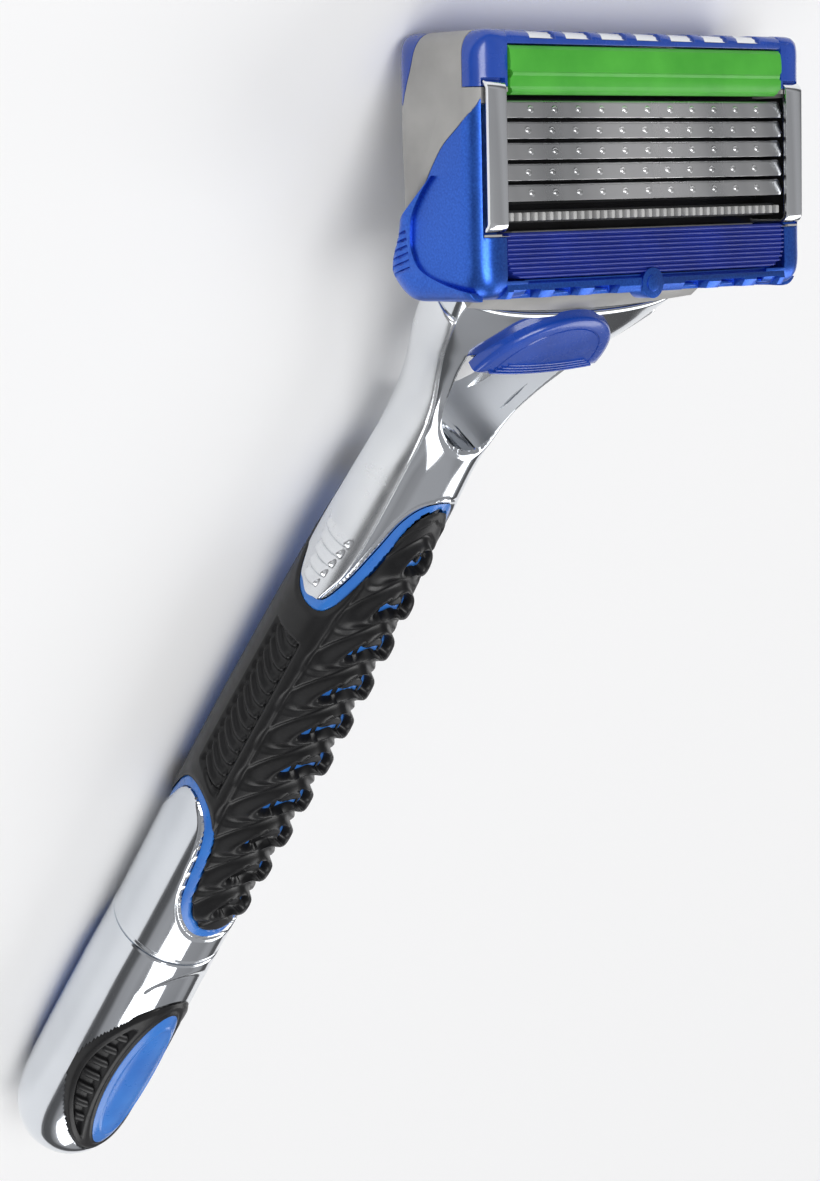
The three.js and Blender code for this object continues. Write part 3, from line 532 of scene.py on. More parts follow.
ridgeAngle = tabled(smooth(grip["ridge"]), ridgeLow, ridgeHigh)


def edgePoints():
    line = unrolled(handle["upperEdge"]) + unrolled(handle["lowerEdge"])
    dense = []
    for a, b in zip(line, line[1:]):
        if (a - b).length < 5:  # not across the gap between the two edges
            dense += [a.lerp(b, i / 6) for i in range(6)]
    return dense


gripEdges = treeOf(edgePoints())


def fromEdge(turn, s):
    # how far a place on the handle is from the grip's nearest edge
    return gripEdges.find((turn * radiusAt(s), s, 0))[2]


def superRound(a, b, power):
    return (abs(a) ** power + abs(b) ** power) ** (1 / power)


def archDrop(arc):
    # how far an arch has dropped at a distance from the front
    return grip["archSlope"] * (math.hypot(arc, grip["archRound"]) - grip["archRound"])


def eyeletAt(arc, s):
    # which eyelet is nearest, and how far off its middle line the place is
    arch = archDrop(arc)
    k = round((grip["firstApex"] - arch - s) / grip["pitch"])
    k = min(max(k, 0), grip["eyelets"] - 1)
    return k, s - (grip["firstApex"] - arch - k * grip["pitch"])


def windowRound(k, arc, off):
    return superRound(arc / (grip["reach"][k] - grip["hood"]), off / grip["windowHalf"], 2.2)


def eyeletHeight(arc, s):
    # a groove round the eyelet, its raised rim, and the window with a finger and a bridge across it
    k, off = eyeletAt(arc, s)
    dip, floor = grip["rimDip"], grip["floor"]
    outer = superRound(arc / grip["reach"][k], off / grip["halfHeight"], 2.5)
    if outer > 1.25:
        return 0.0
    if outer >= 1:
        return -grip["groove"] * (1 - ease((outer - 1) / grip["grooveWidth"]))
    inner = windowRound(k, arc, off)
    if inner > 1:
        t = (1 - outer) / ((1 - outer) + (inner - 1) * 0.9)
        rise = ease(t * 1.25) * (grip["rimRise"] + grip["groove"]) - grip["groove"]
        return rise - dip * ease((t - 0.8) / 0.2)
    height = grip["rimRise"] - dip - (grip["rimRise"] - dip + floor) * ease((1 - inner) / 0.16)
    finger = superRound(arc / (grip["reach"][k] - grip["hood"] - grip["fingerInset"]),
                        off / grip["fingerHalf"], 1.7)
    if finger < 1:
        height = max(height, -floor + (floor + grip["fingerTop"]) * ease((1 - finger) / 0.4))
    bridge = grip["bridges"][off > 0]
    if k < grip["bridgedEyelets"]:
        beside = ease(1 - (abs(arc - bridge) - grip["bridgeHalf"]) / 0.16)
    else:
        beside = ease((bridge + 0.5 - arc) / 0.2)  # the low eyelets are open at their sides only
    return max(height, -floor + (floor - grip["bridgeDrop"]) * beside)


def channelHeight(angle, s):
    # the sunken channel along the side, with its curved ribs
    low, high = grip["channel"]
    across = (angle - (low + high) / 2) / ((high - low) / 2)
    sideways = (1 - abs(across)) * math.radians((high - low) / 2) * meanRadius
    floorLow = grip["channelLow"] + grip["channelSlant"] * ease((across + 1) / 2)
    along = min(s - floorLow, grip["channelHigh"] - s)
    inside = min(sideways, along)
    if inside <= 0:
        return 0.0
    depth = -grip["channelDepth"] * ease(inside / 0.3)
    bend = s - grip["ribSmile"] * across * across - floorLow - grip["ribInset"]
    k = min(max(round(bend / grip["ribPitch"]), 0), grip["ribs"] - 1)
    off = abs(bend - k * grip["ribPitch"])
    if off < grip["ribHalf"]:
        rib = math.cos(off / grip["ribHalf"] * math.pi / 2) ** 0.7
        depth += grip["ribRise"] * rib * ease((sideways - 0.15) / 0.5) * ease(along / 0.4)
    return depth


def alongArches(lift, low, high, columns, rows):
    # a tube whose grid is closer at the front and follows the slope of the arches there
    def surface(u, v):
        across = 2 * u - 1
        angle = 180 * (grip["frontShare"] * across + (1 - grip["frontShare"]) * across ** 3)
        s = low + (high - low) * v
        arch = archDrop(min(abs(math.radians(angle)) * meanRadius, 6.5))
        s -= arch * ease((140 - abs(angle)) / 70) * ease((s - low) / 10) * ease((high - s) / 10)
        return onHandle(angle, s, lift(angle, s))
    return wrapped(columns, rows, surface)


def insideStrip(angle, s):
    # how far a place is inside the blue strip along the back
    return min((angle - 180 + grip["backStrip"]) * math.radians(1) * meanRadius,
               s - grip["stripLow"], grip["stripHigh"] - s)


def sleeveHeight(angle, s):
    angle = abs(angle)
    arc = math.radians(angle) * meanRadius
    height = 0.0
    border = fromEdge(math.radians(angle), s) - grip["border"]
    offRidge = 3.0
    if ridgeLow < s < ridgeHigh:
        offRidge = (angle - ridgeAngle(s)) * math.radians(1) * meanRadius
    if offRidge < 0:
        height -= 0.06
    height += 0.10 * ease((offRidge + 0.1) / 0.4) * (1 - ease((offRidge - 0.5) / 1.2))
    height -= 0.10 * max(0.0, 1 - abs(offRidge + 0.15) / 0.22)
    if angle < grip["frontAngle"]:
        height += eyeletHeight(arc, s) * ease((border + 0.1) / 0.5)
    if angle > grip["channel"][0]:
        height += channelHeight(angle, s)
    height -= grip["stripDepth"] * ease(insideStrip(angle, s) / 0.3 + 0.5)
    return height - 0.22 * (1 - ease(border / 0.8)) ** 2


def linerLift(angle, s):
    angle = abs(angle)
    arc = math.radians(angle) * meanRadius
    border = fromEdge(math.radians(angle), s)
    if border < grip["border"] + 0.25:
        return -grip["linerDepth"] - 0.12 * (1 - ease(border / 0.3))
    k, off = eyeletAt(arc, s)
    if angle < 60 and windowRound(k, arc, off) < 1.02:
        return -grip["linerShow"]
    strip = insideStrip(angle, s) - 0.2
    if strip > 0:
        return -0.18 - 0.2 * (1 - ease(strip / 0.5))
    return -grip["linerUnder"]


def clearEdges(piece, inner, gap):
    # hollows a tube of the grip and ends it at a gap from both edges
    cut(piece, inner, beyondEdge(handle["upperEdge"], gap, farUp), beyondEdge(handle["lowerEdge"], gap, 0))


def makeGrip():
    low, high, angle = grip["low"], grip["high"], grip["smoothAngle"]
    sleeve = alongArches(sleeveHeight, low, high, grip["columns"], grip["rows"])
    clearEdges(sleeve, tube(-grip["wall"], low - 2, high + 2, 60, 30), grip["border"])
    setDown(sleeve, "grip_sleeve_skin", "softBlack", "grip_sleeve", angle)
    liner = alongArches(linerLift, low, high, grip["linerColumns"], grip["linerRows"])
    inside = -grip["linerUnder"] - grip["linerWall"] + 0.2
    clearEdges(liner, tube(inside, low - 2, high + 2, 48, 24), grip["linerGap"])
    setDown(liner, "grip_liner_skin", "linerBlue", "grip_liner", angle)
    print("grip made", len(sleeve.data.polygons), len(liner.data.polygons))


makeGrip()


# The chromed lower body and the press-fitted end cap, with its pad, badge and spine.
lower = {
    "seamGap": 0.09, "seamGroove": 0.62, "seamDepth": 0.14, "boreRadius": 3.2,
    "padCentre": 17.5, "padHalf": (6.2, 13.0), "padDepth": 0.9, "padRise": 0.10,
    "badgeHalf": (3.2, 11.4), "badgeRise": 0.34, "badgeLine": 0.80,
    "browCentre": 18.3, "browHalf": (6.9, 17.4), "browDepth": 0.30,
    "ribs": 8, "ribFirst": 8.2, "ribPitch": 2.3, "ribHalf": 0.62, "panelDepth": 0.55,
    "spineHalf": (4.0, 15.5), "spineCentre": 20.5, "spineDepth": 0.8, "spineRise": 0.05,
    "buttRows": [0, 0.06, 0.2, 0.45, 0.8, 1.2, 1.7, 2.2, 2.8, 3.4, 4.0],
}


def evenHeights(low, high, step):
    count = max(1, round((high - low) / step))
    return [low + (high - low) * i / count for i in range(count + 1)]


def lathed(lift, heights, columns):
    def surface(u, v):
        s = heights[round(v * (len(heights) - 1))]
        angle = 360 * u - 180
        return onHandle(angle, s, lift(angle, s))
    return wrapped(columns, len(heights) - 1, surface)


def edgeDrop(turn, s):
    # the chrome's rounded edge beside the grip
    return 0.16 * (1 - ease(fromEdge(turn, s) / 0.4)) ** 2


def lowerBodyLift(angle, s):
    lift = -edgeDrop(math.radians(abs(angle)), s)
    off = s - handle["seam"]
    lift -= 0.10 * (1 - ease((off - lower["seamGap"]) / 0.22))
    return lift - lower["seamDepth"] * ease(1 - abs(off - lower["seamGroove"]) / 0.13)


def ovalRound(oval, centre, power, x, s):
    # 0 in the middle of one of the ovals, and 1 on its edge
    half = lower[oval]
    return superRound(x / half[0], (s - lower[centre]) / half[1], power)


padRound = partial(ovalRound, "padHalf", "padCentre", 2)
badgeRound = partial(ovalRound, "badgeHalf", "padCentre", 2)
browRound = partial(ovalRound, "browHalf", "browCentre", 2.1)
spineRound = partial(ovalRound, "spineHalf", "spineCentre", 2.4)


def endCapLift(angle, s):
    x = handle["wide"] * radiusAt(s) * math.sin(math.radians(angle))
    lift = -0.10 * (1 - ease((handle["seam"] - lower["seamGap"] - s) / 0.22))
    if abs(angle) < 90:
        brow = ease((1 - browRound(x, s)) / 0.05) * ease((s - 22) / 5) * ease((47 - abs(angle)) / 15)
        lift -= lower["browDepth"] * brow
        if padRound(x, s) < 0.985:
            lift = min(lift, -lower["padDepth"])
    elif spineRound(x, s) < 0.97:
        lift = -lower["spineDepth"]
    return lift


def onSkin(x, s, lift, front=True):
    # a place seen from the front or back, set on the handle's skin
    radius = max(radiusAt(s), 0.1) + lift
    across = min(abs(x) / (handle["wide"] * radius), 0.999)
    depth = handle["deep"] * radius * math.sqrt(1 - across * across)
    return Vector((x, handle["axisOffset"] + (depth if front else -depth), s))


def ovalPiece(centre, half, outerLift, innerLift, columns, rows, front=True):
    def surface(u, v):
        rho, turn = (1 - abs(2 * v - 1)) ** 0.7, 2 * math.pi * u
        x, s = half[0] * rho * math.cos(turn), centre + half[1] * rho * math.sin(turn)
        return onSkin(x, s, outerLift(x, s) if v < 0.5 else innerLift, front)
    return wrapped(columns, rows * 2, surface, ends=False)


def padLift(x, s):
    edge = padRound(x, s)
    rim = badgeRound(x, s)
    lift = lower["padRise"] - 0.25 * (1 - ease((1 - edge) / 0.06)) - 0.1 * ease((1 - rim) / 0.1)
    lift -= 0.12 * max(0.0, 1 - abs(rim - 1.05) / 0.05)
    inside = min((0.90 - edge) * 6, (rim - 1.20) * 3, s - 6.9, 26.2 - s)
    return lift - lower["panelDepth"] * ease(inside / 0.25)


def padRib(side, s):
    # one rounded bar across the recessed panel, from the badge's rim towards the pad's rim
    def reach(half, grow):
        return half[0] * math.sqrt(max(grow - ((s - lower["padCentre"]) / half[1]) ** 2, 0.02))
    inner, outer = reach(lower["badgeHalf"], 1.46), reach(lower["padHalf"], 0.80)
    if outer - inner < 0.5:
        return None

    def surface(u, v):
        t = 2 * v - 1
        fat = max(1 - abs(t) ** 10, 0.0) ** 0.5
        x = side * (inner + (outer - inner) * v)
        turn = 2 * math.pi * u
        lift = lower["padRise"] - 0.62 + 0.60 * max(math.cos(turn), 0) ** 0.7 * fat
        return onSkin(x, s + lower["ribHalf"] * math.sin(turn) * fat, lift)
    return wrapped(20, 26, surface)


def badgeLift(x, s):
    edge = badgeRound(x, s)
    line = lower["badgeLine"]
    lift = lower["badgeRise"] * (1 - edge ** 3) ** 0.5 + 0.02
    return lift + 0.10 * max(0.0, 1 - ((edge - line) / 0.035) ** 2)


def spineLift(x, s):
    return lower["spineRise"] - 0.2 * (1 - ease((1 - spineRound(x, s)) / 0.08))


def boreCut(piece, low, high):
    cut(piece, rod(lower["boreRadius"], low, high, (0, handle["axisOffset"], 0)))


def makeLower():
    seam, gap = handle["seam"], lower["seamGap"]
    heights = evenHeights(seam + gap, seam + 1.2, 0.06) + evenHeights(seam + 1.2, 60, 0.2)[1:]
    body = lathed(lowerBodyLift, heights, 220)
    cut(body, beyondEdge(handle["lowerEdge"], 0, 0), how="INTERSECT")
    boreCut(body, 30, 70)
    setDown(body, "lower_body_skin", "chrome", "lower_body", 75)
    heights = lower["buttRows"] + evenHeights(4.3, seam - 0.6, 0.27)
    heights += evenHeights(seam - 0.55, seam - gap, 0.06)
    cap = lathed(endCapLift, heights, 180)
    boreCut(cap, 24, 70)
    setDown(cap, "end_cap_skin", "chrome", "end_cap", 40)
    pad = ovalPiece(lower["padCentre"], lower["padHalf"], padLift, -lower["padDepth"] + 0.05, 170, 90)
    heights = [lower["ribFirst"] + k * lower["ribPitch"] for k in range(lower["ribs"])]
    ribs = [padRib(side, s) for side in (-1, 1) for s in heights]
    pad = joined(pad, *[rib for rib in ribs if rib])
    setDown(pad, "cap_pad_ribbed", "softBlack", "cap_pad", 55)
    badge = ovalPiece(lower["padCentre"], lower["badgeHalf"], badgeLift, -0.35, 120, 50)
    setDown(badge, "cap_badge_oval", "linerBlue", "cap_badge", 50)
    spine = ovalPiece(lower["spineCentre"], lower["spineHalf"], spineLift, -lower["spineDepth"] + 0.1,
                      110, 24, front=False)
    setDown(spine, "back_spine_inlay", "linerBlue", "back_spine", 50)
    print("lower handle made")


makeLower()


# The neck and head: a chromed loop that ends in the docking edge.
head = {
    "low": 85.0, "plainTo": 106, "top": 131.0, "tipFrom": 119.0, "dip": 1.2, "halfWidth": 14.6,
    # height, half width, half depth, centre and squareness; up to plainTo the halves are the handle's
    "sections": [(84, 1, 1, 0.4, 2), (106, 1, 1, 0.4, 2), (110, 5.4, 4.9, 0.6, 2.1),
                 (114, 6.7, 4.6, 1.1, 2.3), (118, 8.7, 4.2, 1.8, 2.6), (122, 11.0, 3.9, 2.7, 3.0),
                 (126, 12.95, 3.65, 3.7, 3.5), (129, 14.1, 3.5, 4.4, 3.9), (131, 14.6, 3.45, 4.93, 4.1),
                 (135, 15.4, 3.45, 6.0, 4.1)],
    "windowLow": 109.5, "windowTop": 122.4, "windowHalf": 8.0, "windowLip": 0.75, "lip": 0.45,
    "pocketHalf": (8.6, 2.3), "pocketDepth": 8.6, "stemSlotHalf": 3.1,
    "coverHalf": 0.146, "coverLow": 97.5, "coverRise": 0.22, "coverWall": 0.9,
    # the tongues' sides, as height and share of the way round
    "tongueFront": [(84, 0.205), (88, 0.20), (91.7, 0.170), (95, 0.160), (104, 0.160), (112, 0.168),
                    (120, 0.195), (128, 0.205), (134, 0.207)],
    "tongueBack": [(84, 0.235), (88.5, 0.30), (91, 0.335), (97, 0.352), (112, 0.352), (120, 0.315),
                   (128, 0.298), (134, 0.296)],
    "tongueRise": 0.34, "tongueWall": 1.2, "tongueLow": 86.0, "tongueTop": 128.0,
    "arcs": 5, "arcFirst": 89.4, "arcPitch": 1.45, "arcHalf": 0.50, "arcRise": 0.40, "arcMiddle": 0.250,
}
ringCount = 240


def headColumns():
    # each value of the sections as a curve over the height
    columns = []
    for column in (1, 2, 3, 4):
        pairs = [(row[0], row[column]) for row in head["sections"]]
        if column < 3:
            scale = handle["wide"] if column == 1 else handle["deep"]
            pairs = [(s, radiusAt(s) * scale if s <= head["plainTo"] else value) for s, value in pairs]
        columns.append(smooth(pairs))
    return columns


headCurves = headColumns()


def headRing(s):
    # the section's points at even steps of its length, from the front centre towards +X
    halfX, halfY, centre, power = [curve(s) for curve in headCurves]
    if s <= head["plainTo"]:
        halfX, halfY = radiusAt(s) * handle["wide"], radiusAt(s) * handle["deep"]
    fine = []
    for i in range(721):
        turn = math.pi * i / 360
        a, b = math.sin(turn), math.cos(turn)
        fine.append(Vector((halfX * math.copysign(abs(a) ** (2 / power), a),
                            centre + halfY * math.copysign(abs(b) ** (2 / power), b))))
    return evenly(fine, ringCount)


ringLow, ringStep = 84.0, 0.5
headRings = [headRing(ringLow + ringStep * i) for i in range(102)]


def onHead(u, s, lift=0.0):
    row = min(max((s - ringLow) / ringStep, 0), len(headRings) - 1.001)
    i, t = int(row), row - int(row)
    place = (u % 1.0) * ringCount
    j, w = int(place) % ringCount, place - int(place)

    def ringPoint(k):
        return headRings[i][k % ringCount].lerp(headRings[i + 1][k % ringCount], t)
    a, b = ringPoint(j), ringPoint(j + 1)
    before, after = ringPoint(j - 1), ringPoint(j + 2)
    run = (after - before).normalized()
    point = a.lerp(b, w) + lift * Vector((-run.y, run.x))
    # the last stretch leans over so that it ends on the dipped docking edge
    lean = math.radians(frameSizes["headLean"])
    dock = head["top"] + (-head["dip"] * (1 - (point.x / head["halfWidth"]) ** 2)
                          - (point.y - frameSizes["headForward"]) * math.sin(lean)) / math.cos(lean)
    pull = ease((s - head["tipFrom"]) / (head["top"] - head["tipFrom"]))
    return Vector((point.x, point.y, s + pull * (dock - head["top"])))


def windowOutline(grow=0.0):
    low, top, half = head["windowLow"] - grow, head["windowTop"], head["windowHalf"] + grow
    right = [(0, low), (2.6 + grow, low + 0.8), (4.6 + grow, low + 3.4), (6.9 + grow, top - 3.4), (half, top)]
    return curved([(-x, s) for x, s in reversed(right[1:])] + right, 8)


def lipPoints():
    run = windowOutline()
    return [(a[0] + (b[0] - a[0]) * i / 4, a[1] + (b[1] - a[1]) * i / 4)
            for a, b in zip(run, run[1:]) for i in range(4)]


windowEdge = treeOf(lipPoints())


def fromWindow(point):
    return windowEdge.find((point.x, point.z, 0))[2]


def rounded(distance, radius):
    # how far a quarter-round edge has dropped at this distance from it
    if distance >= radius:
        return 0.0
    return radius - math.sqrt(max(radius * radius - (radius - distance) ** 2, 0.0))


def headLift(u, s):
    u = u % 1.0
    point = onHead(u, s)
    drop = rounded(fromWindow(point), head["windowLip"])
    drop = max(drop, rounded(head["top"] - s, head["lip"]))
    if s < 108:
        angle = math.atan2(abs(point.x) / handle["wide"], (point.y - handle["axisOffset"]) / handle["deep"])
        drop = max(drop, edgeDrop(angle, s))
    return -drop


def inTip(piece):
    piece.data.transform(places["handle"].inverted() @ places["tip"])
    return piece


def makeHead():
    rows = evenHeights(head["low"], head["top"] - 0.6, 0.27)
    rows += [head["top"] - 0.6 + 0.6 * math.sin(i * math.pi / 10) for i in range(1, 6)]

    def surface(u, v):
        s = rows[round(v * (len(rows) - 1))]
        return onHead(u, s, headLift(u, s))
    body = wrapped(ringCount, len(rows) - 1, surface)
    px, py = head["pocketHalf"]
    depth = head["pocketDepth"]
    cut(body, slab(windowOutline(), -20, 20, "Y"),
        inTip(block((-px, -py, -depth - 1), (px, py, 9))),
        inTip(block((-head["stemSlotHalf"], 0, -depth - 1), (head["stemSlotHalf"], 9, -depth + 5.4))),
        rod(lower["boreRadius"], 70, 99.5, (0, handle["axisOffset"], 0)))
    cut(body, beyondEdge(handle["upperEdge"], 0, farUp), how="INTERSECT")
    setDown(body, "head_frame_skin", "chrome", "head_frame", 40)
    print("head made", len(body.data.polygons))


def edgeOver(share):
    # the height of the grip's upper edge at a share of the way round
    angle = abs((share + 0.5) % 1.0 - 0.5) * 360
    run = handle["upperEdge"]
    i = next(k for k in range(len(run) - 1) if run[k + 1][0] <= angle)
    (a0, s0), (a1, s1) = run[i], run[i + 1]
    return s0 + (s1 - s0) * ease((a0 - angle) / (a0 - a1)) + 0.06


def patch(left, right, low, high, outerLift, innerLift, columns, rows):
    # a closed skin on the head between two lines given as shares of the way round, over the grip's edge
    def surface(u, v):
        s = low + (high - low) * v
        across = 2 * u if u <= 0.5 else 2 * (1 - u)
        share = left(s) + (right(s) - left(s)) * across
        s = max(s, edgeOver(share))
        return onHead(share, s, outerLift(across, s) if u <= 0.5 else innerLift)
    return wrapped(columns * 2, rows, surface)


tongueLeft = smooth(head["tongueFront"])
tongueRight = smooth(head["tongueBack"])


def tongueLift(across, s):
    width = 8.0 if s < 112 else 6.0
    side = min(across, 1 - across) * width
    lift = head["tongueRise"] - rounded(side, 0.5) - rounded(head["tongueTop"] - s, 0.6)
    k = min(max(round((s - head["arcFirst"]) / head["arcPitch"]), 0), head["arcs"] - 1)
    share = tongueLeft(s) + (tongueRight(s) - tongueLeft(s)) * across
    along = (share - head["arcMiddle"]) * 36 / (1.0 + 0.26 * k)
    off = s - head["arcFirst"] - k * head["arcPitch"] - 0.3 * along * along
    if abs(off) < head["arcHalf"] and abs(along) < 1:
        rise = math.cos(off / head["arcHalf"] * math.pi / 2) ** 0.7
        lift += head["arcRise"] * rise * ease((1 - abs(along)) / 0.3)
    return lift


def makeTongues():
    tongue = patch(tongueLeft, tongueRight, head["tongueLow"], head["tongueTop"], tongueLift,
                   -head["tongueWall"], 70, 280)
    for piece, name in ((tongue, "side_tongue_left"), (mirrored(tongue), "side_tongue_right")):
        setDown(piece, name + "_skin", "pearl", name, 80)
    print("tongues made")


def makeBackCover():
    half = head["coverHalf"]

    def lift(across, s):
        side = min(across, 1 - across) * 2 * half * 40
        u = 0.5 - half + 2 * half * across
        point = onHead(u, s)
        drop = max(rounded(away, 0.4) for away in (fromWindow(point) - 0.1, side, head["top"] - 0.6 - s))
        return head["coverRise"] - drop
    piece = patch(lambda s: 0.5 - half, lambda s: 0.5 + half, head["coverLow"], head["top"] - 0.6, lift,
                  -head["coverWall"], 80, 130)
    cut(piece, slab(windowOutline(0.1), -20, 20, "Y"))
    setDown(piece, "head_back_cover_skin", "coverGrey", "head_back_cover", 40)
    print("back cover made")


makeHead()
makeTongues()
makeBackCover()


# The release button and the connector, both in the head's leaning frame.
button = {
    "halfWidth": 8.0, "base": -8.5, "height": 7.6, "dip": 0.8, "low": 3.5, "high": 4.75, "middle": 0.40,
    # each ring of the cap: its scale about the middle, and its height over the top
    "rings": [(1.0, -0.5), (0.985, -0.2), (0.955, -0.04), (0.90, 0.03), (0.80, 0.12), (0.765, 0.13),
              (0.755, 0.02), (0.735, 0.02), (0.725, 0.14), (0.60, 0.20), (0.40, 0.27), (0.20, 0.30),
              (0.02, 0.31)],
    "ribs": 4, "ribFirst": 0.55, "ribPitch": 0.42, "ribWidth": 0.20, "ribReach": 6.6, "ribTaper": 0.55,
    "ribSink": 0.4, "ribTop": 0.36,
    "stem": ((-2.6, 2.1, -8.2), (2.6, 3.6, -6.0)),
}


def moonOutline(steps=40):
    wide, tall, base = button["halfWidth"], button["height"], button["base"]
    radius = (wide * wide + tall * tall) / (2 * tall)
    centre = base + tall - radius
    end = math.atan2(base - centre, wide)
    run = []
    for i in range(steps + 1):
        turn = end + (math.pi - 2 * end) * i / steps
        run.append((radius * math.cos(turn), centre + radius * math.sin(turn)))
    for i in range(1, steps):
        x = -wide + 2 * wide * i / steps
        run.append((x, base - button["dip"] * (1 - (x / wide) ** 2)))
    return run


def makeButton():
    outline = moonOutline()
    top = button["high"]
    centre = Vector((0, button["base"] + button["middle"] * button["height"]))
    rings = [(1.0, button["low"])] + [(scale, top + rise) for scale, rise in button["rings"]]

    def surface(u, v):
        scale, y = rings[round(v * (len(rings) - 1))]
        x, z = outline[round(u * len(outline)) % len(outline)]
        point = centre + scale * (Vector((x, z)) - centre)
        return Vector((point.x, y, point.y))
    parts = [wrapped(len(outline), len(rings) - 1, surface)]
    for i in range(button["ribs"]):
        shift = button["ribFirst"] + i * button["ribPitch"]
        reach = button["ribReach"] - button["ribTaper"] * i
        path = []
        for k in range(21):
            x = -reach + 2 * reach * k / 20
            path.append((x, button["base"] - button["dip"] * (1 - (x / button["halfWidth"]) ** 2) + shift))
        rib = path + [(x, z + button["ribWidth"]) for x, z in reversed(path)]
        parts.append(softEdges(slab(rib, top - button["ribSink"], top + button["ribTop"], "Y"), 0.07, 2, 50))
    stem = softEdges(block(*button["stem"]), 0.15)
    setDown(joined(*parts, stem), "release_button_moon", "royalBlue", "release_button", 40, "tip", "button")


connector = {
    "halfWidth": 14.5, "top": 4.9, "front": 3.3, "foot": -3, "dockGap": 0.12, "socketTop": 4.2,
    "corner": [(0, 1.8), (0.35, 3.4), (1.2, 4.4)], "topInset": 2.6,
    "armInner": 12.3, "armReach": 1.35, "pivot": 5.67, "pinRadius": 0.9, "pinEnd": 16.5, "pinRoot": 0.3,
    "edge": 0.42, "plungerHole": ((-1.9, -2.3, -1), (1.9, -0.2, 8)),
}


def aboveDock(gap):
    # everything over the dipped docking edge, as a slab through the head
    half = head["halfWidth"]
    outline = [(x, -head["dip"] * (1 - (min(abs(x), half) / half) ** 2) + gap) for x in range(-20, 21)]
    return slab(outline + [(20, 12), (-20, 12)], -8, 8, "Y")


def makeConnector():
    half, top, front = connector["halfWidth"], connector["top"], connector["front"]
    pivot, reach = connector["pivot"], connector["armReach"]
    corner = [(half - inset, z) for inset, z in connector["corner"]]
    right = curved([(half, connector["foot"])] + corner + [(half - connector["topInset"], top)], 5)
    body = slab(bothSides(right), -front, front, "Y")
    cut(body, aboveDock(connector["dockGap"]), how="INTERSECT")
    for side in (-1, 1):
        low, high = span(side, connector["armInner"], half)
        cut(body, rod(reach, low, high, (0, 0, pivot), "X", 40),
            block((low, -reach, 2), (high, reach, pivot)), how="UNION")
    softEdges(body, connector["edge"], 3, 40)
    px, py = head["pocketHalf"]
    cut(body, block((-px, -py, connector["foot"]), (px, py, connector["socketTop"])),
        block(*connector["plungerHole"]))
    ends = half - connector["pinRoot"], connector["pinEnd"]
    pins = [softEdges(rod(connector["pinRadius"], *span(side, *ends), (0, 0, pivot), "X", 28), 0.15)
            for side in (-1, 1)]
    setDown(joined(body, *pins), "connector_bridge", "warmGrey", "connector", 40, "tip", "connector")
    print("button and connector made")


makeButton()
makeConnector()


# The cartridge. Its frame has the face plane at y = 0 and the top edge at z = 0, and its outlines are
# given as (y, z). These are the ends that the housing, the shell and the cover share.
cartridge = {
    "halfWidth": 21.0, "inner": 15.4, "height": 22.5, "round": 2.0, "middle": (-5.4, -11.25),
    "side": [(-10.2, -0.3), (-10.5, -1.2), (-10.5, -5), (-10.5, -9), (-10.4, -16), (-11.4, -19.2),
             (-11.3, -20.6), (-9.3, -22.3), (-6.5, -22.5), (-3.5, -22.5), (-1.6, -22.5), (-0.5, -22.0),
             (0, -20.9), (0, -18), (0, -11), (0, -3), (0, -0.9), (-0.25, -0.25), (-0.9, 0), (-2.5, 0),
             (-5, 0), (-8, 0), (-9.6, -0.03)],
    "sweep": [(-0.45, -5.6), (-0.9, -6.5), (-2.4, -7.9), (-4.3, -9.4), (-5.6, -11.0), (-6.7, -12.7),
              (-8.2, -14.8), (-10.4, -16.5), (-13, -17.8)],
    "frontEnd": -17.3, "rearCorner": [(-12, 1), (-7.4, 1), (-7.9, -2), (-9.4, -6), (-12, -6)],
    "rearFrom": 18.0, "gap": 0.07, "ear": (17.5, -1.9, -4.75), "edge": 0.12, "edgeAngle": 38,
    # the lower front corner, in from the side and up from the foot
    "lowerCorner": [(-1, 5.4), (0.1, 3.9), (0.7, 2.3), (2.0, 0.8), (3.8, 0.05), (5.5, -1)], "cornerFade": 2.6,
    # how far the end's pieces are cleared behind the face, along X and down to (y, z)
    "panelClear": (17.5, (-1.9, -30), (3, 3)), "shellClear": (17.9, (-1.75, -21.0), (3, 0)),
    "clipFrom": 17.9, "clipTo": 20.1, "clipTop": -4.2, "clipBottom": -16.9,
    "well": (18.3, -5.55, -16.85), "wellBack": -4.1, "wellWall": 0.15,
}
# The raised wing at the end of the shell, with the grooves for the fingertips.
wing = {
    "inner": 19.5, "rise": 0.30, "round": 1.7,
    "edge": [(-5.6, -12.0), (-6.9, -13.4), (-8.1, -15.3), (-8.35, -17), (-8.2, -18.4), (-7.1, -20.0),
             (-4.2, -21.2), (-1.4, -21.9)],
    "behind": [(-1.4, -24), (-14, -24), (-14, -17.6), (-10.4, -16.2)],
    "grooves": 6, "grooveFirst": -16.9, "groovePitch": 0.62, "grooveShift": 0.1, "grooveDepth": 0.25,
}
farOut = 23  # clear of the cartridge's side


def sideRing():
    points = curveThrough(cartridge["side"] + [cartridge["side"][0]], 12)
    return evenly(points, 150)


def endBody(side, inner, outer, edge, grow=0.0):
    # the cartridge's side outline run along X, its outer edge well rounded
    ring = sideRing()
    turns = 9
    stations = [(inner, 0.0)]
    for i in range(turns + 1):
        turn = math.pi / 2 * i / turns
        stations.append((outer - edge + edge * math.sin(turn), edge * (1 - math.cos(turn))))
    midY, midZ = cartridge["middle"]

    def surface(u, v):
        x, inset = stations[round(v * (len(stations) - 1))]
        point = ring[round(u * len(ring)) % len(ring)]
        inset -= grow
        return Vector((side * x, midY + (point.x - midY) * (1 + inset / midY),
                       midZ + (point.y - midZ) * (1 + inset / midZ)))
    return wrapped(len(ring), len(stations) - 1, surface)


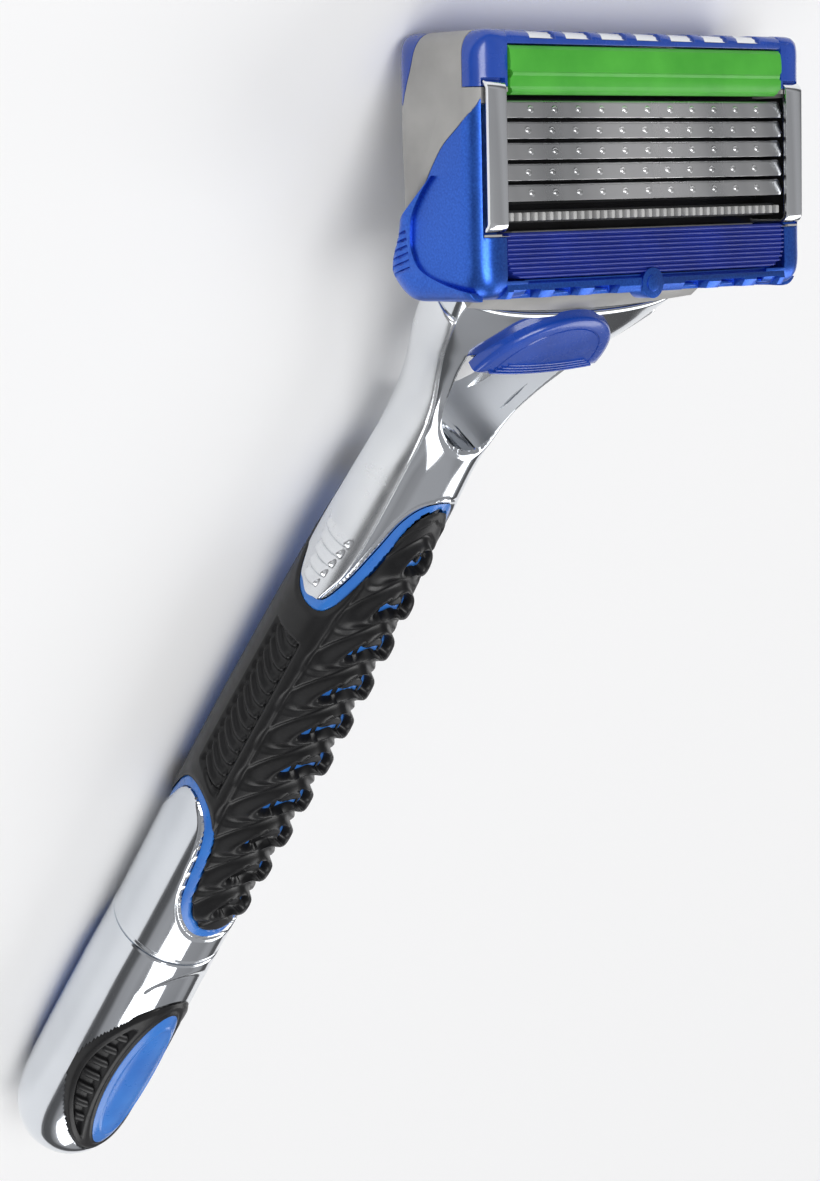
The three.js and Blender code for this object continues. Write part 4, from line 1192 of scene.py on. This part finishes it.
def sweepRegion(side, grow):
    line = shifted([Vector(point) for point in curved(cartridge["sweep"], 8)], -grow)
    run = [(point.x, point.y) for point in line]
    end = cartridge["frontEnd"] + grow
    return slab(run + [(-13, -24), (3, -24), (3, end), (run[0][0], end)], *span(side, 15, farOut))


def rearRegion(side, grow):
    outline = [(y + (grow if y > -11 else 0), z - (grow if z < -5 else 0))
               for y, z in cartridge["rearCorner"]]
    run = [outline[0]] + curved(outline[1:4], 6) + [outline[4]]
    return slab(run, *span(side, cartridge["rearFrom"] - grow, farOut))


def earRegion(side, grow):
    inner, back, low = cartridge["ear"]
    return sideBlock(side, (inner - grow, back - grow, low - grow), (farOut, 2, 2))


def clipRegion(side):
    low, high = cartridge["clipBottom"] - 0.15, cartridge["clipTop"] + 0.15
    return sideBlock(side, (cartridge["clipFrom"] - 0.12, -0.65, low), (cartridge["clipTo"] + 0.12, 3, high))


def cornerWedge(side):
    # rounds a lower front corner, and fades out towards the rear
    half, base, fade = cartridge["halfWidth"], -cartridge["height"], cartridge["cornerFade"]
    curve = curved([(half - inset, base + rise) for inset, rise in cartridge["lowerCorner"]], 6)
    wedge = slab([(side * x, z) for x, z in curve] + [(side * (half + 4), base - 3)], -9, 2, "Y")
    for vertex in wedge.data.vertices:
        if vertex.co.y < 0:
            vertex.co.x += side * fade
            vertex.co.z -= fade
    return inEdit(wedge, faceOut)


def makeWing(side):
    outer = cartridge["halfWidth"]
    piece = endBody(side, wing["inner"], outer + wing["rise"], wing["round"], wing["rise"] * 0.6)
    cut(piece, slab(curved(wing["edge"], 8) + wing["behind"], *span(side, 15, farOut)), how="INTERSECT")
    for i in range(wing["grooves"]):
        z = wing["grooveFirst"] - wing["groovePitch"] * i
        shift = wing["grooveShift"] * i
        groove = [(-12.5, z - 0.75), (-8.95 + shift, z + 0.35), (-8.8 + shift, z + 0.1), (-12.5, z - 1.1)]
        cut(piece, slab(groove, *span(side, outer - wing["grooveDepth"], farOut)))
    return piece


def makeEnds():
    gap = cartridge["gap"]
    x, high, low = cartridge["well"]
    back = cartridge["wellBack"]
    panels, shells, corners = [], [], []
    for side in (-1, 1):
        whole = endBody(side, cartridge["inner"], cartridge["halfWidth"], cartridge["round"])
        shell, corner, ear = copyOf(whole), copyOf(whole), copyOf(whole)
        cut(whole, sweepRegion(side, gap), rearRegion(side, gap), earRegion(side, gap), clipRegion(side))
        cut(shell, sweepRegion(side, 0), how="INTERSECT")
        cut(shell, cornerWedge(side), clipRegion(side))
        for body in (whole, shell):
            cut(body, sideBlock(side, (15, back - 0.45, low - 0.35),
                                (x + cartridge["wellWall"], 3, high + 0.35)))
        cut(corner, rearRegion(side, 0), how="INTERSECT")
        cut(ear, earRegion(side, 0), how="INTERSECT")
        cut(ear, clipRegion(side))
        for body, name in ((whole, "panelClear"), (shell, "shellClear")):
            reach, near, far = cartridge[name]
            cut(body, sideBlock(side, (15, *near), (reach, *far)))
        panels.append(whole)
        shells += [shell, makeWing(side)]
        corners += [corner, ear]
    for body in panels + shells + corners:
        softEdges(body, cartridge["edge"], 2, cartridge["edgeAngle"])
    return panels, shells, corners


# The grey housing with its trunnion bore, and black sheets and bars laid in the well behind the blades as
# painted shade.
housing = {
    "tray": ((-15.5, -4.3, -20.8), (15.5, -1.75, -1.2)), "shelf": ((-15.5, -8.9, -3.6), (15.5, -1.9, -1.35)),
    "bore": (1.15, -17.2, 17.2, (0, -6.0, -17.5)),
    "backSheet": 0.4, "bars": 6, "barHalf": 0.2, "barSink": 0.1, "barRise": 0.45,
    "sideNear": 0.02, "sideFar": 0.12, "sideBack": -4.2, "sideFront": -0.5,
}


def makeHousing(panels):
    x, high, low = cartridge["well"]
    wellBack = cartridge["wellBack"]
    tray = block(*housing["tray"])
    cut(tray, block(*housing["shelf"]), how="UNION")
    cut(tray, block((-x, -20, low), (x, 5, high)))
    body = joined(*panels, softEdges(tray, 0.15))
    cut(body, rod(*housing["bore"], "X"))
    onCartridge(body, "blade_housing_grey", "warmGrey", "blade_housing", 40)
    # a black back sheet, bars between the blades and thin side sheets, set in the well as painted shade in
    # the gaps behind the blades
    bars = [block((-x, wellBack - housing["backSheet"], low - 0.3), (x, wellBack, high + 0.3))]
    pitch, half = blades["pitch"], housing["barHalf"]
    for k in range(housing["bars"]):
        z = blades["first"] + pitch / 2 - k * pitch
        bars.append(block((-x, wellBack - housing["barSink"], z - half),
                          (x, wellBack + housing["barRise"], z + half)))
    for side in (-1, 1):
        bars.append(sideBlock(side, (x + housing["sideNear"], housing["sideBack"], low),
                              (x + housing["sideFar"], housing["sideFront"], high)))
    well = softEdges(joined(*bars), 0.04, 2)
    onCartridge(well, "blade_housing_shade_sheets", "combBlack", "blade_housing", 40)
    print("housing made")


# The blue lower shell with its lip, notches and boss.
shellPiece = {
    "floor": ((-15.5, -4.3, -22.5), (15.5, -0.35, -20.95)), "lipHalf": 17.9,
    "lip": [(-1.9, -20.95), (-0.5, -20.95), (-0.05, -21.3), (0.05, -21.9), (-0.35, -22.5), (-1.9, -22.5)],
    "boss": (1.35, -1.75, 0.1), "bossCap": (0.75, 0.0, 0.22), "bossHeight": -21.75,
    "notches": 3, "first": 4.2, "pitch": 4.9, "width": 3.2, "notchBack": -1.25, "notchTop": -21.75,
    "tabHalf": 0.85, "tabLow": (-1.35, -22.25), "tabHigh": (-0.75, -21.95),
}


def makeShell(shells):
    half = shellPiece["lipHalf"]
    centre = (0, 0, shellPiece["bossHeight"])
    starts = [(side, shellPiece["first"] + shellPiece["pitch"] * k)
              for side in (-1, 1) for k in range(shellPiece["notches"])]
    lip = slab(shellPiece["lip"], -half, half)
    cut(lip, block(*shellPiece["floor"]), rod(*shellPiece["boss"], centre, "Y", 40), how="UNION")
    for side, start in starts:
        cut(lip, sideBlock(side, (start, shellPiece["notchBack"], -24),
                           (start + shellPiece["width"], 2, shellPiece["notchTop"])))
    softEdges(lip, 0.14, 2, 38)
    extras = [softEdges(rod(*shellPiece["bossCap"], centre, "Y"), 0.08)]
    for side, start in starts:
        middle, tab = side * (start + shellPiece["width"] / 2), shellPiece["tabHalf"]
        extras.append(softEdges(block((middle - tab, *shellPiece["tabLow"]),
                                      (middle + tab, *shellPiece["tabHigh"])), 0.08))
    onCartridge(joined(lip, *shells, *extras), "guard_shell_swept", "shellBlue", "guard_shell", 40)
    print("shell made")


# The blue cover along the top, with silver plates set in its windows.
cover = {
    "outline": [(-0.05, -1.2), (0.0, -0.75), (-0.22, -0.32), (-0.7, -0.05), (-1.6, 0.02), (-10.1, 0),
                (-10.5, -0.4), (-10.5, -2.1), (-9.7, -2.1), (-9.1, -1.1)],
    "half": 18.75, "windows": 7, "pitch": 4.4, "windowHalf": 1.55, "windowBack": -3.4, "windowFoot": -0.75,
    "plateGap": 0.07, "plate": [(-0.14, -0.72), (-0.42, -0.36), (-0.85, -0.14), (-1.6, -0.07)],
}


def makeCover(corners):
    half, gap = cover["windowHalf"], cover["plateGap"]
    back = cover["windowBack"]
    centres = [(i - (cover["windows"] - 1) / 2) * cover["pitch"] for i in range(cover["windows"])]
    top = slab(cover["outline"], -cover["half"], cover["half"])
    cut(top, *[block((x - half, back, cover["windowFoot"]), (x + half, 2, 2)) for x in centres])
    softEdges(top, 0.07, 2, 38)
    onCartridge(joined(top, *corners), "cap_cover_blue", "royalBlue", "cap_cover", 40)
    first, last = cover["plate"][0], cover["plate"][-1]
    profile = [(back + gap, first[1])] + cover["plate"] + [(back + gap, last[1])]
    plates = [softEdges(slab(profile, x - half + gap, x + half - gap), 0.04) for x in centres]
    onCartridge(joined(*plates), "cap_cover_plates", "clipMetal", "cap_cover", 40)
    print("cap cover made")


strip = {
    "profile": [(-1.5, -5.42), (-0.35, -5.42), (0.02, -5.2), (0.14, -4.7), (0.17, -4.1), (0.16, -3.86),
                (0.24, -3.74), (0.27, -3.62), (0.20, -3.5), (0.24, -2.9), (0.20, -2.2), (0.10, -1.65),
                (-0.15, -1.36), (-0.6, -1.28), (-1.5, -1.28)],
    "half": 17.35, "notchReach": 17.5, "notches": [(0.55, -5.35), (0.4, -3.7)],
}


def makeStrip():
    piece = slab(strip["profile"], -strip["half"], strip["half"])
    for side in (-1, 1):
        cut(piece, *[rod(radius, -3, 3, (side * strip["notchReach"], 0, z), "Y", 24)
                     for radius, z in strip["notches"]])
    softEdges(piece, 0.08, 3, 50)
    onCartridge(piece, "lubricating_strip_crowned", "stripGreen", "lubricating_strip", 30)


# The clips are strips of sheet metal bent round the housing's front.
clips = {"sheet": 0.38, "face": 0.3, "bend": 0.85, "back": -4.6}


def makeClips():
    top, bottom, sheet = cartridge["clipTop"], cartridge["clipBottom"], clips["sheet"]
    face, bend, back = clips["face"], clips["bend"], clips["back"]

    def corner(z, radius, start, steps=7):
        points = []
        for i in range(steps + 1):
            turn = math.radians(start - 90 * i / steps)
            points.append((face - bend + radius * math.cos(turn), z + radius * math.sin(turn)))
        return points
    outline = [(back, top)] + corner(top - bend, bend, 90) + corner(bottom + bend, bend, 0)
    outline += [(back, bottom), (back, bottom + sheet)] + corner(bottom + bend, bend - sheet, 0)[::-1]
    outline += corner(top - bend, bend - sheet, 90)[::-1] + [(back, top - sheet)]
    for side, name in ((1, "clip_left"), (-1, "clip_right")):
        clip = slab(outline, *span(side, cartridge["clipFrom"], cartridge["clipTo"]))
        softEdges(clip, 0.07, 2, 60)
        onCartridge(clip, name + "_bent", "clipMetal", name, 40)
    print("strip and clips made")


# The blades, each a thin band with a ground edge and a row of weld dots.
blades = {
    "count": 5, "first": -6.6, "pitch": 1.75, "tilt": 20.0, "seat": -0.35,
    "reach": 17.65, "half": 0.76, "sheet": 0.2, "grind": 0.10,
    "dots": 11, "dotPitch": 2.9, "dotRadius": 0.34, "dotSquash": 0.5, "dotSink": -0.02, "dotShift": 0.35,
}


def makeBlades():
    tilt = Matrix.Rotation(math.radians(blades["tilt"]), 4, "X")
    half, sheet = blades["half"], blades["sheet"]
    profile = [(0, -half + 0.18), (-blades["grind"], -half), (-sheet, -half + 0.05), (-sheet, half),
               (0, half), (0.05, half - 0.1), (0.05, half - 0.3), (0, half - 0.4)]
    for i in range(blades["count"]):
        blade = slab(profile, -blades["reach"], blades["reach"])
        softEdges(blade, 0.03, 1, 60)
        dots = []
        for k in range(blades["dots"]):
            bpy.ops.mesh.primitive_uv_sphere_add(segments=14, ring_count=7, radius=blades["dotRadius"])
            dot = bpy.context.object
            x = (k - (blades["dots"] - 1) / 2) * blades["dotPitch"] + blades["dotShift"] * (i % 2)
            dot.data.transform(Matrix.Translation((x, 0, blades["dotSink"]))
                               @ Matrix.Diagonal((1, blades["dotSquash"], 1, 1)))
            dots.append(dot)
        blade = joined(blade, *dots)
        drop = blades["first"] - i * blades["pitch"]
        blade.data.transform(Matrix.Translation((0, blades["seat"], drop)) @ tilt)
        name = f"blade_{i + 1}"
        setDown(blade, name + "_band", "bladeSteelReflectionBands", name, 30, "face", f"blade_unit_{i + 1}")
    print("blades made")


# The comb under the blades, and the finned guard under the comb.
guards = {
    "bar": ((-17.65, -1.6, -16.15), (17.65, -0.95, -15.05)),
    "teeth": 37, "toothPitch": 0.95, "toothPlace": (-0.55, -15.62), "toothSize": (0.42, 0.9, 0.72),
    "fins": 10, "top": -16.95, "bottom": -20.85, "half": 17.8, "back": -1.6, "valley": -0.35, "foot": -0.30,
    # each fin's crest: how far out, at what share of the pitch
    "crest": [(-0.02, 0.30), (0.02, 0.45), (-0.02, 0.60)],
}


def makeGuards():
    bar = softEdges(block(*guards["bar"]), 0.12, 2)
    onCartridge(bar, "comb_guard_bar", "combBlack", "comb_guard", 40)
    bpy.ops.mesh.primitive_cube_add(size=1)
    teeth = bpy.context.object
    first = -(guards["teeth"] - 1) / 2 * guards["toothPitch"]
    teeth.data.transform(Matrix.Translation((first, *guards["toothPlace"]))
                         @ Matrix.Diagonal((*guards["toothSize"], 1)))
    softEdges(teeth, 0.09, 2)
    apply(teeth, "ARRAY", count=guards["teeth"], use_relative_offset=False, use_constant_offset=True,
          constant_offset_displace=(guards["toothPitch"], 0, 0))
    onCartridge(teeth, "comb_guard_teeth", "toothGrey", "comb_guard", 40)
    top, bottom, half = guards["top"], guards["bottom"], guards["half"]
    back, valley, foot = guards["back"], guards["valley"], guards["foot"]
    pitch = (top - bottom) / guards["fins"]
    profile = [(back, bottom), (valley, bottom)]
    for k in range(guards["fins"]):
        z = bottom + pitch * k
        profile += [(foot, z + 0.03)] + [(y, z + pitch * share) for y, share in guards["crest"]]
        profile.append((foot, z + pitch * 0.92))
    guard = slab(profile + [(valley, top), (back, top)], -half, half)
    frame = curved([(half, top - 0.6), (half - 0.05, bottom + 1.7), (half - 0.5, bottom + 0.6),
                    (half - 1.7, bottom)], 6)
    cut(guard, slab(bothSides([(half - 0.25, top)] + frame), -3, 3, "Y"), how="INTERSECT")
    softEdges(guard, 0.025, 1, 60)
    onCartridge(guard, "fin_guard_ridges", "guardBlue", "fin_guard", 28)
    print("guards made")


panels, shells, corners = makeEnds()
makeHousing(panels)
makeShell(shells)
makeCover(corners)
makeStrip()
makeClips()
makeBlades()
makeGuards()


# The two springs in the head.
springs = {
    "button_spring": {"radius": 0.95, "wire": 0.16, "low": -6.9, "high": -2.8, "turns": 3.5, "y": 0.5,
                      "joint": "button_slide", "anchor": -2.8, "travel": 2.5},
    "plunger_spring": {"radius": 0.55, "wire": 0.13, "low": -1.8, "high": 1.25, "turns": 4.5, "y": -1.25,
                       "joint": "plunger_slide", "anchor": -1.8, "travel": 1.2},
}


def makeSpring(name, sizes):
    radius, wire, long = sizes["radius"], sizes["wire"], sizes["high"] - sizes["low"]

    def surface(u, v):
        turn = 2 * math.pi * sizes["turns"] * v
        roundWire = 2 * math.pi * u
        reach = radius + wire * math.cos(roundWire)
        height = sizes["low"] + wire + (long - 2 * wire) * v + wire * math.sin(roundWire)
        return Vector((reach * math.cos(turn), sizes["y"] + reach * math.sin(turn), height))
    coil = wrapped(10, 110, surface)
    setDown(coil, name + "_coil", "springSteel", name, 60, "tip")
    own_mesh(coil)


for name, sizes in springs.items():
    makeSpring(name, sizes)
print("springs made")


# The pieces that stay as the shared model has them take their finish through their slots.
inside = {
    "handle_core": "darkPlastic", "docking_nose": "darkPlastic", "ejector_slide": "darkPlastic",
    "plunger": "darkPlastic", "trimmer_blade": "bladeSteelReflectionBands", "trimmer_comb": "guardBlue",
}
inside.update({f"blade_support_{i + 1}": "supportSteel" for i in range(blades["count"])})
for name, finish in inside.items():
    for slot in frame["nodes"][name].material_slots:
        slot.material = finishes[finish]
print("inside pieces finished", len(inside))


# The studio: a pale floor, soft lights and the camera.
studio = {
    "lens": 91.45, "sensor": 36, "distance": 0.3045, "target": (-0.0081, -0.0095, 0.008),
    "look": (-0.670227, 0.551826, -0.496269), "up": (-0.105688, -0.732838, -0.672145),
    "floorSize": 6, "floorDrop": 0.0002, "worldStrength": 0.40,
    # grey of the surroundings by height, from the horizon at 0.5 to straight up at 1
    "sky": [(0.50, 0.55), (0.53, 0.24), (0.60, 0.28), (0.64, 0.85), (0.72, 0.95), (0.78, 0.72), (0.86, 0.80),
            (0.90, 1.0), (1.0, 1.0)],
    # name, place, size and power
    "lights": [("key", (0.35, -0.5, 0.75), 0.5, 5), ("fill", (-0.7, 0.2, 0.6), 0.6, 2.5),
               ("back", (0.2, 0.7, 0.5), 0.5, 2)],
}


def linked(name, data):
    thing = bpy.data.objects.new(name, data)
    bpy.context.scene.collection.objects.link(thing)
    return thing


def makeCamera():
    look = Vector(studio["look"]).normalized()
    back = -look
    side = Vector(studio["up"]).cross(back).normalized()
    turn = Matrix((side, back.cross(side), back)).transposed().to_4x4()
    data = bpy.data.cameras.new("camera")
    data.lens = studio["lens"]
    data.sensor_width = studio["sensor"]
    data.clip_start = 0.01
    camera = linked("camera", data)
    camera.matrix_world = Matrix.Translation(Vector(studio["target"]) - studio["distance"] * look) @ turn
    bpy.context.scene.camera = camera
    bpy.context.scene.view_settings.view_transform = "Standard"


def makeFloor():
    pickOnly()
    bpy.ops.mesh.primitive_plane_add(size=studio["floorSize"], location=(0, 0, -studio["floorDrop"]))
    floor = bpy.context.object
    floor.name = "floor"
    pale = newFinish("paleFloor", (0.9, 0.9, 0.9), 0.9)
    tint(pale, grain(pale, 2), (0.90, 0.90, 0.90), (0.91, 0.91, 0.91))
    floor.data.materials.append(pale)


def makeWorld():
    world = bpy.data.worlds.new("studio")
    bpy.context.scene.world = world
    world.use_nodes = True
    nodes, links = world.node_tree.nodes, world.node_tree.links
    background = nodes["Background"]
    where = nodes.new("ShaderNodeTexCoord")
    split = nodes.new("ShaderNodeSeparateXYZ")
    ramp = nodes.new("ShaderNodeValToRGB")
    while len(ramp.color_ramp.elements) < len(studio["sky"]):
        ramp.color_ramp.elements.new(0.5)
    for element, (position, value) in zip(ramp.color_ramp.elements, studio["sky"]):
        element.position = position
        element.color = (value, value, value * 1.02, 1)
    half = nodes.new("ShaderNodeMath")
    half.operation = "MULTIPLY_ADD"
    half.inputs[1].default_value = 0.5
    half.inputs[2].default_value = 0.5
    links.new(where.outputs["Generated"], split.inputs["Vector"])
    links.new(split.outputs["Z"], half.inputs[0])
    links.new(half.outputs["Value"], ramp.inputs["Fac"])
    links.new(ramp.outputs["Color"], background.inputs["Color"])
    background.inputs["Strength"].default_value = studio["worldStrength"]


def makeLights():
    for name, place, size, power in studio["lights"]:
        data = bpy.data.lights.new(name, "AREA")
        data.size = size
        data.energy = power
        light = linked(name, data)
        light.location = place
        light.rotation_euler = (-Vector(place)).to_track_quat("-Z", "Y").to_euler()


makeCamera()
makeFloor()
makeWorld()
makeLights()
print("studio made")
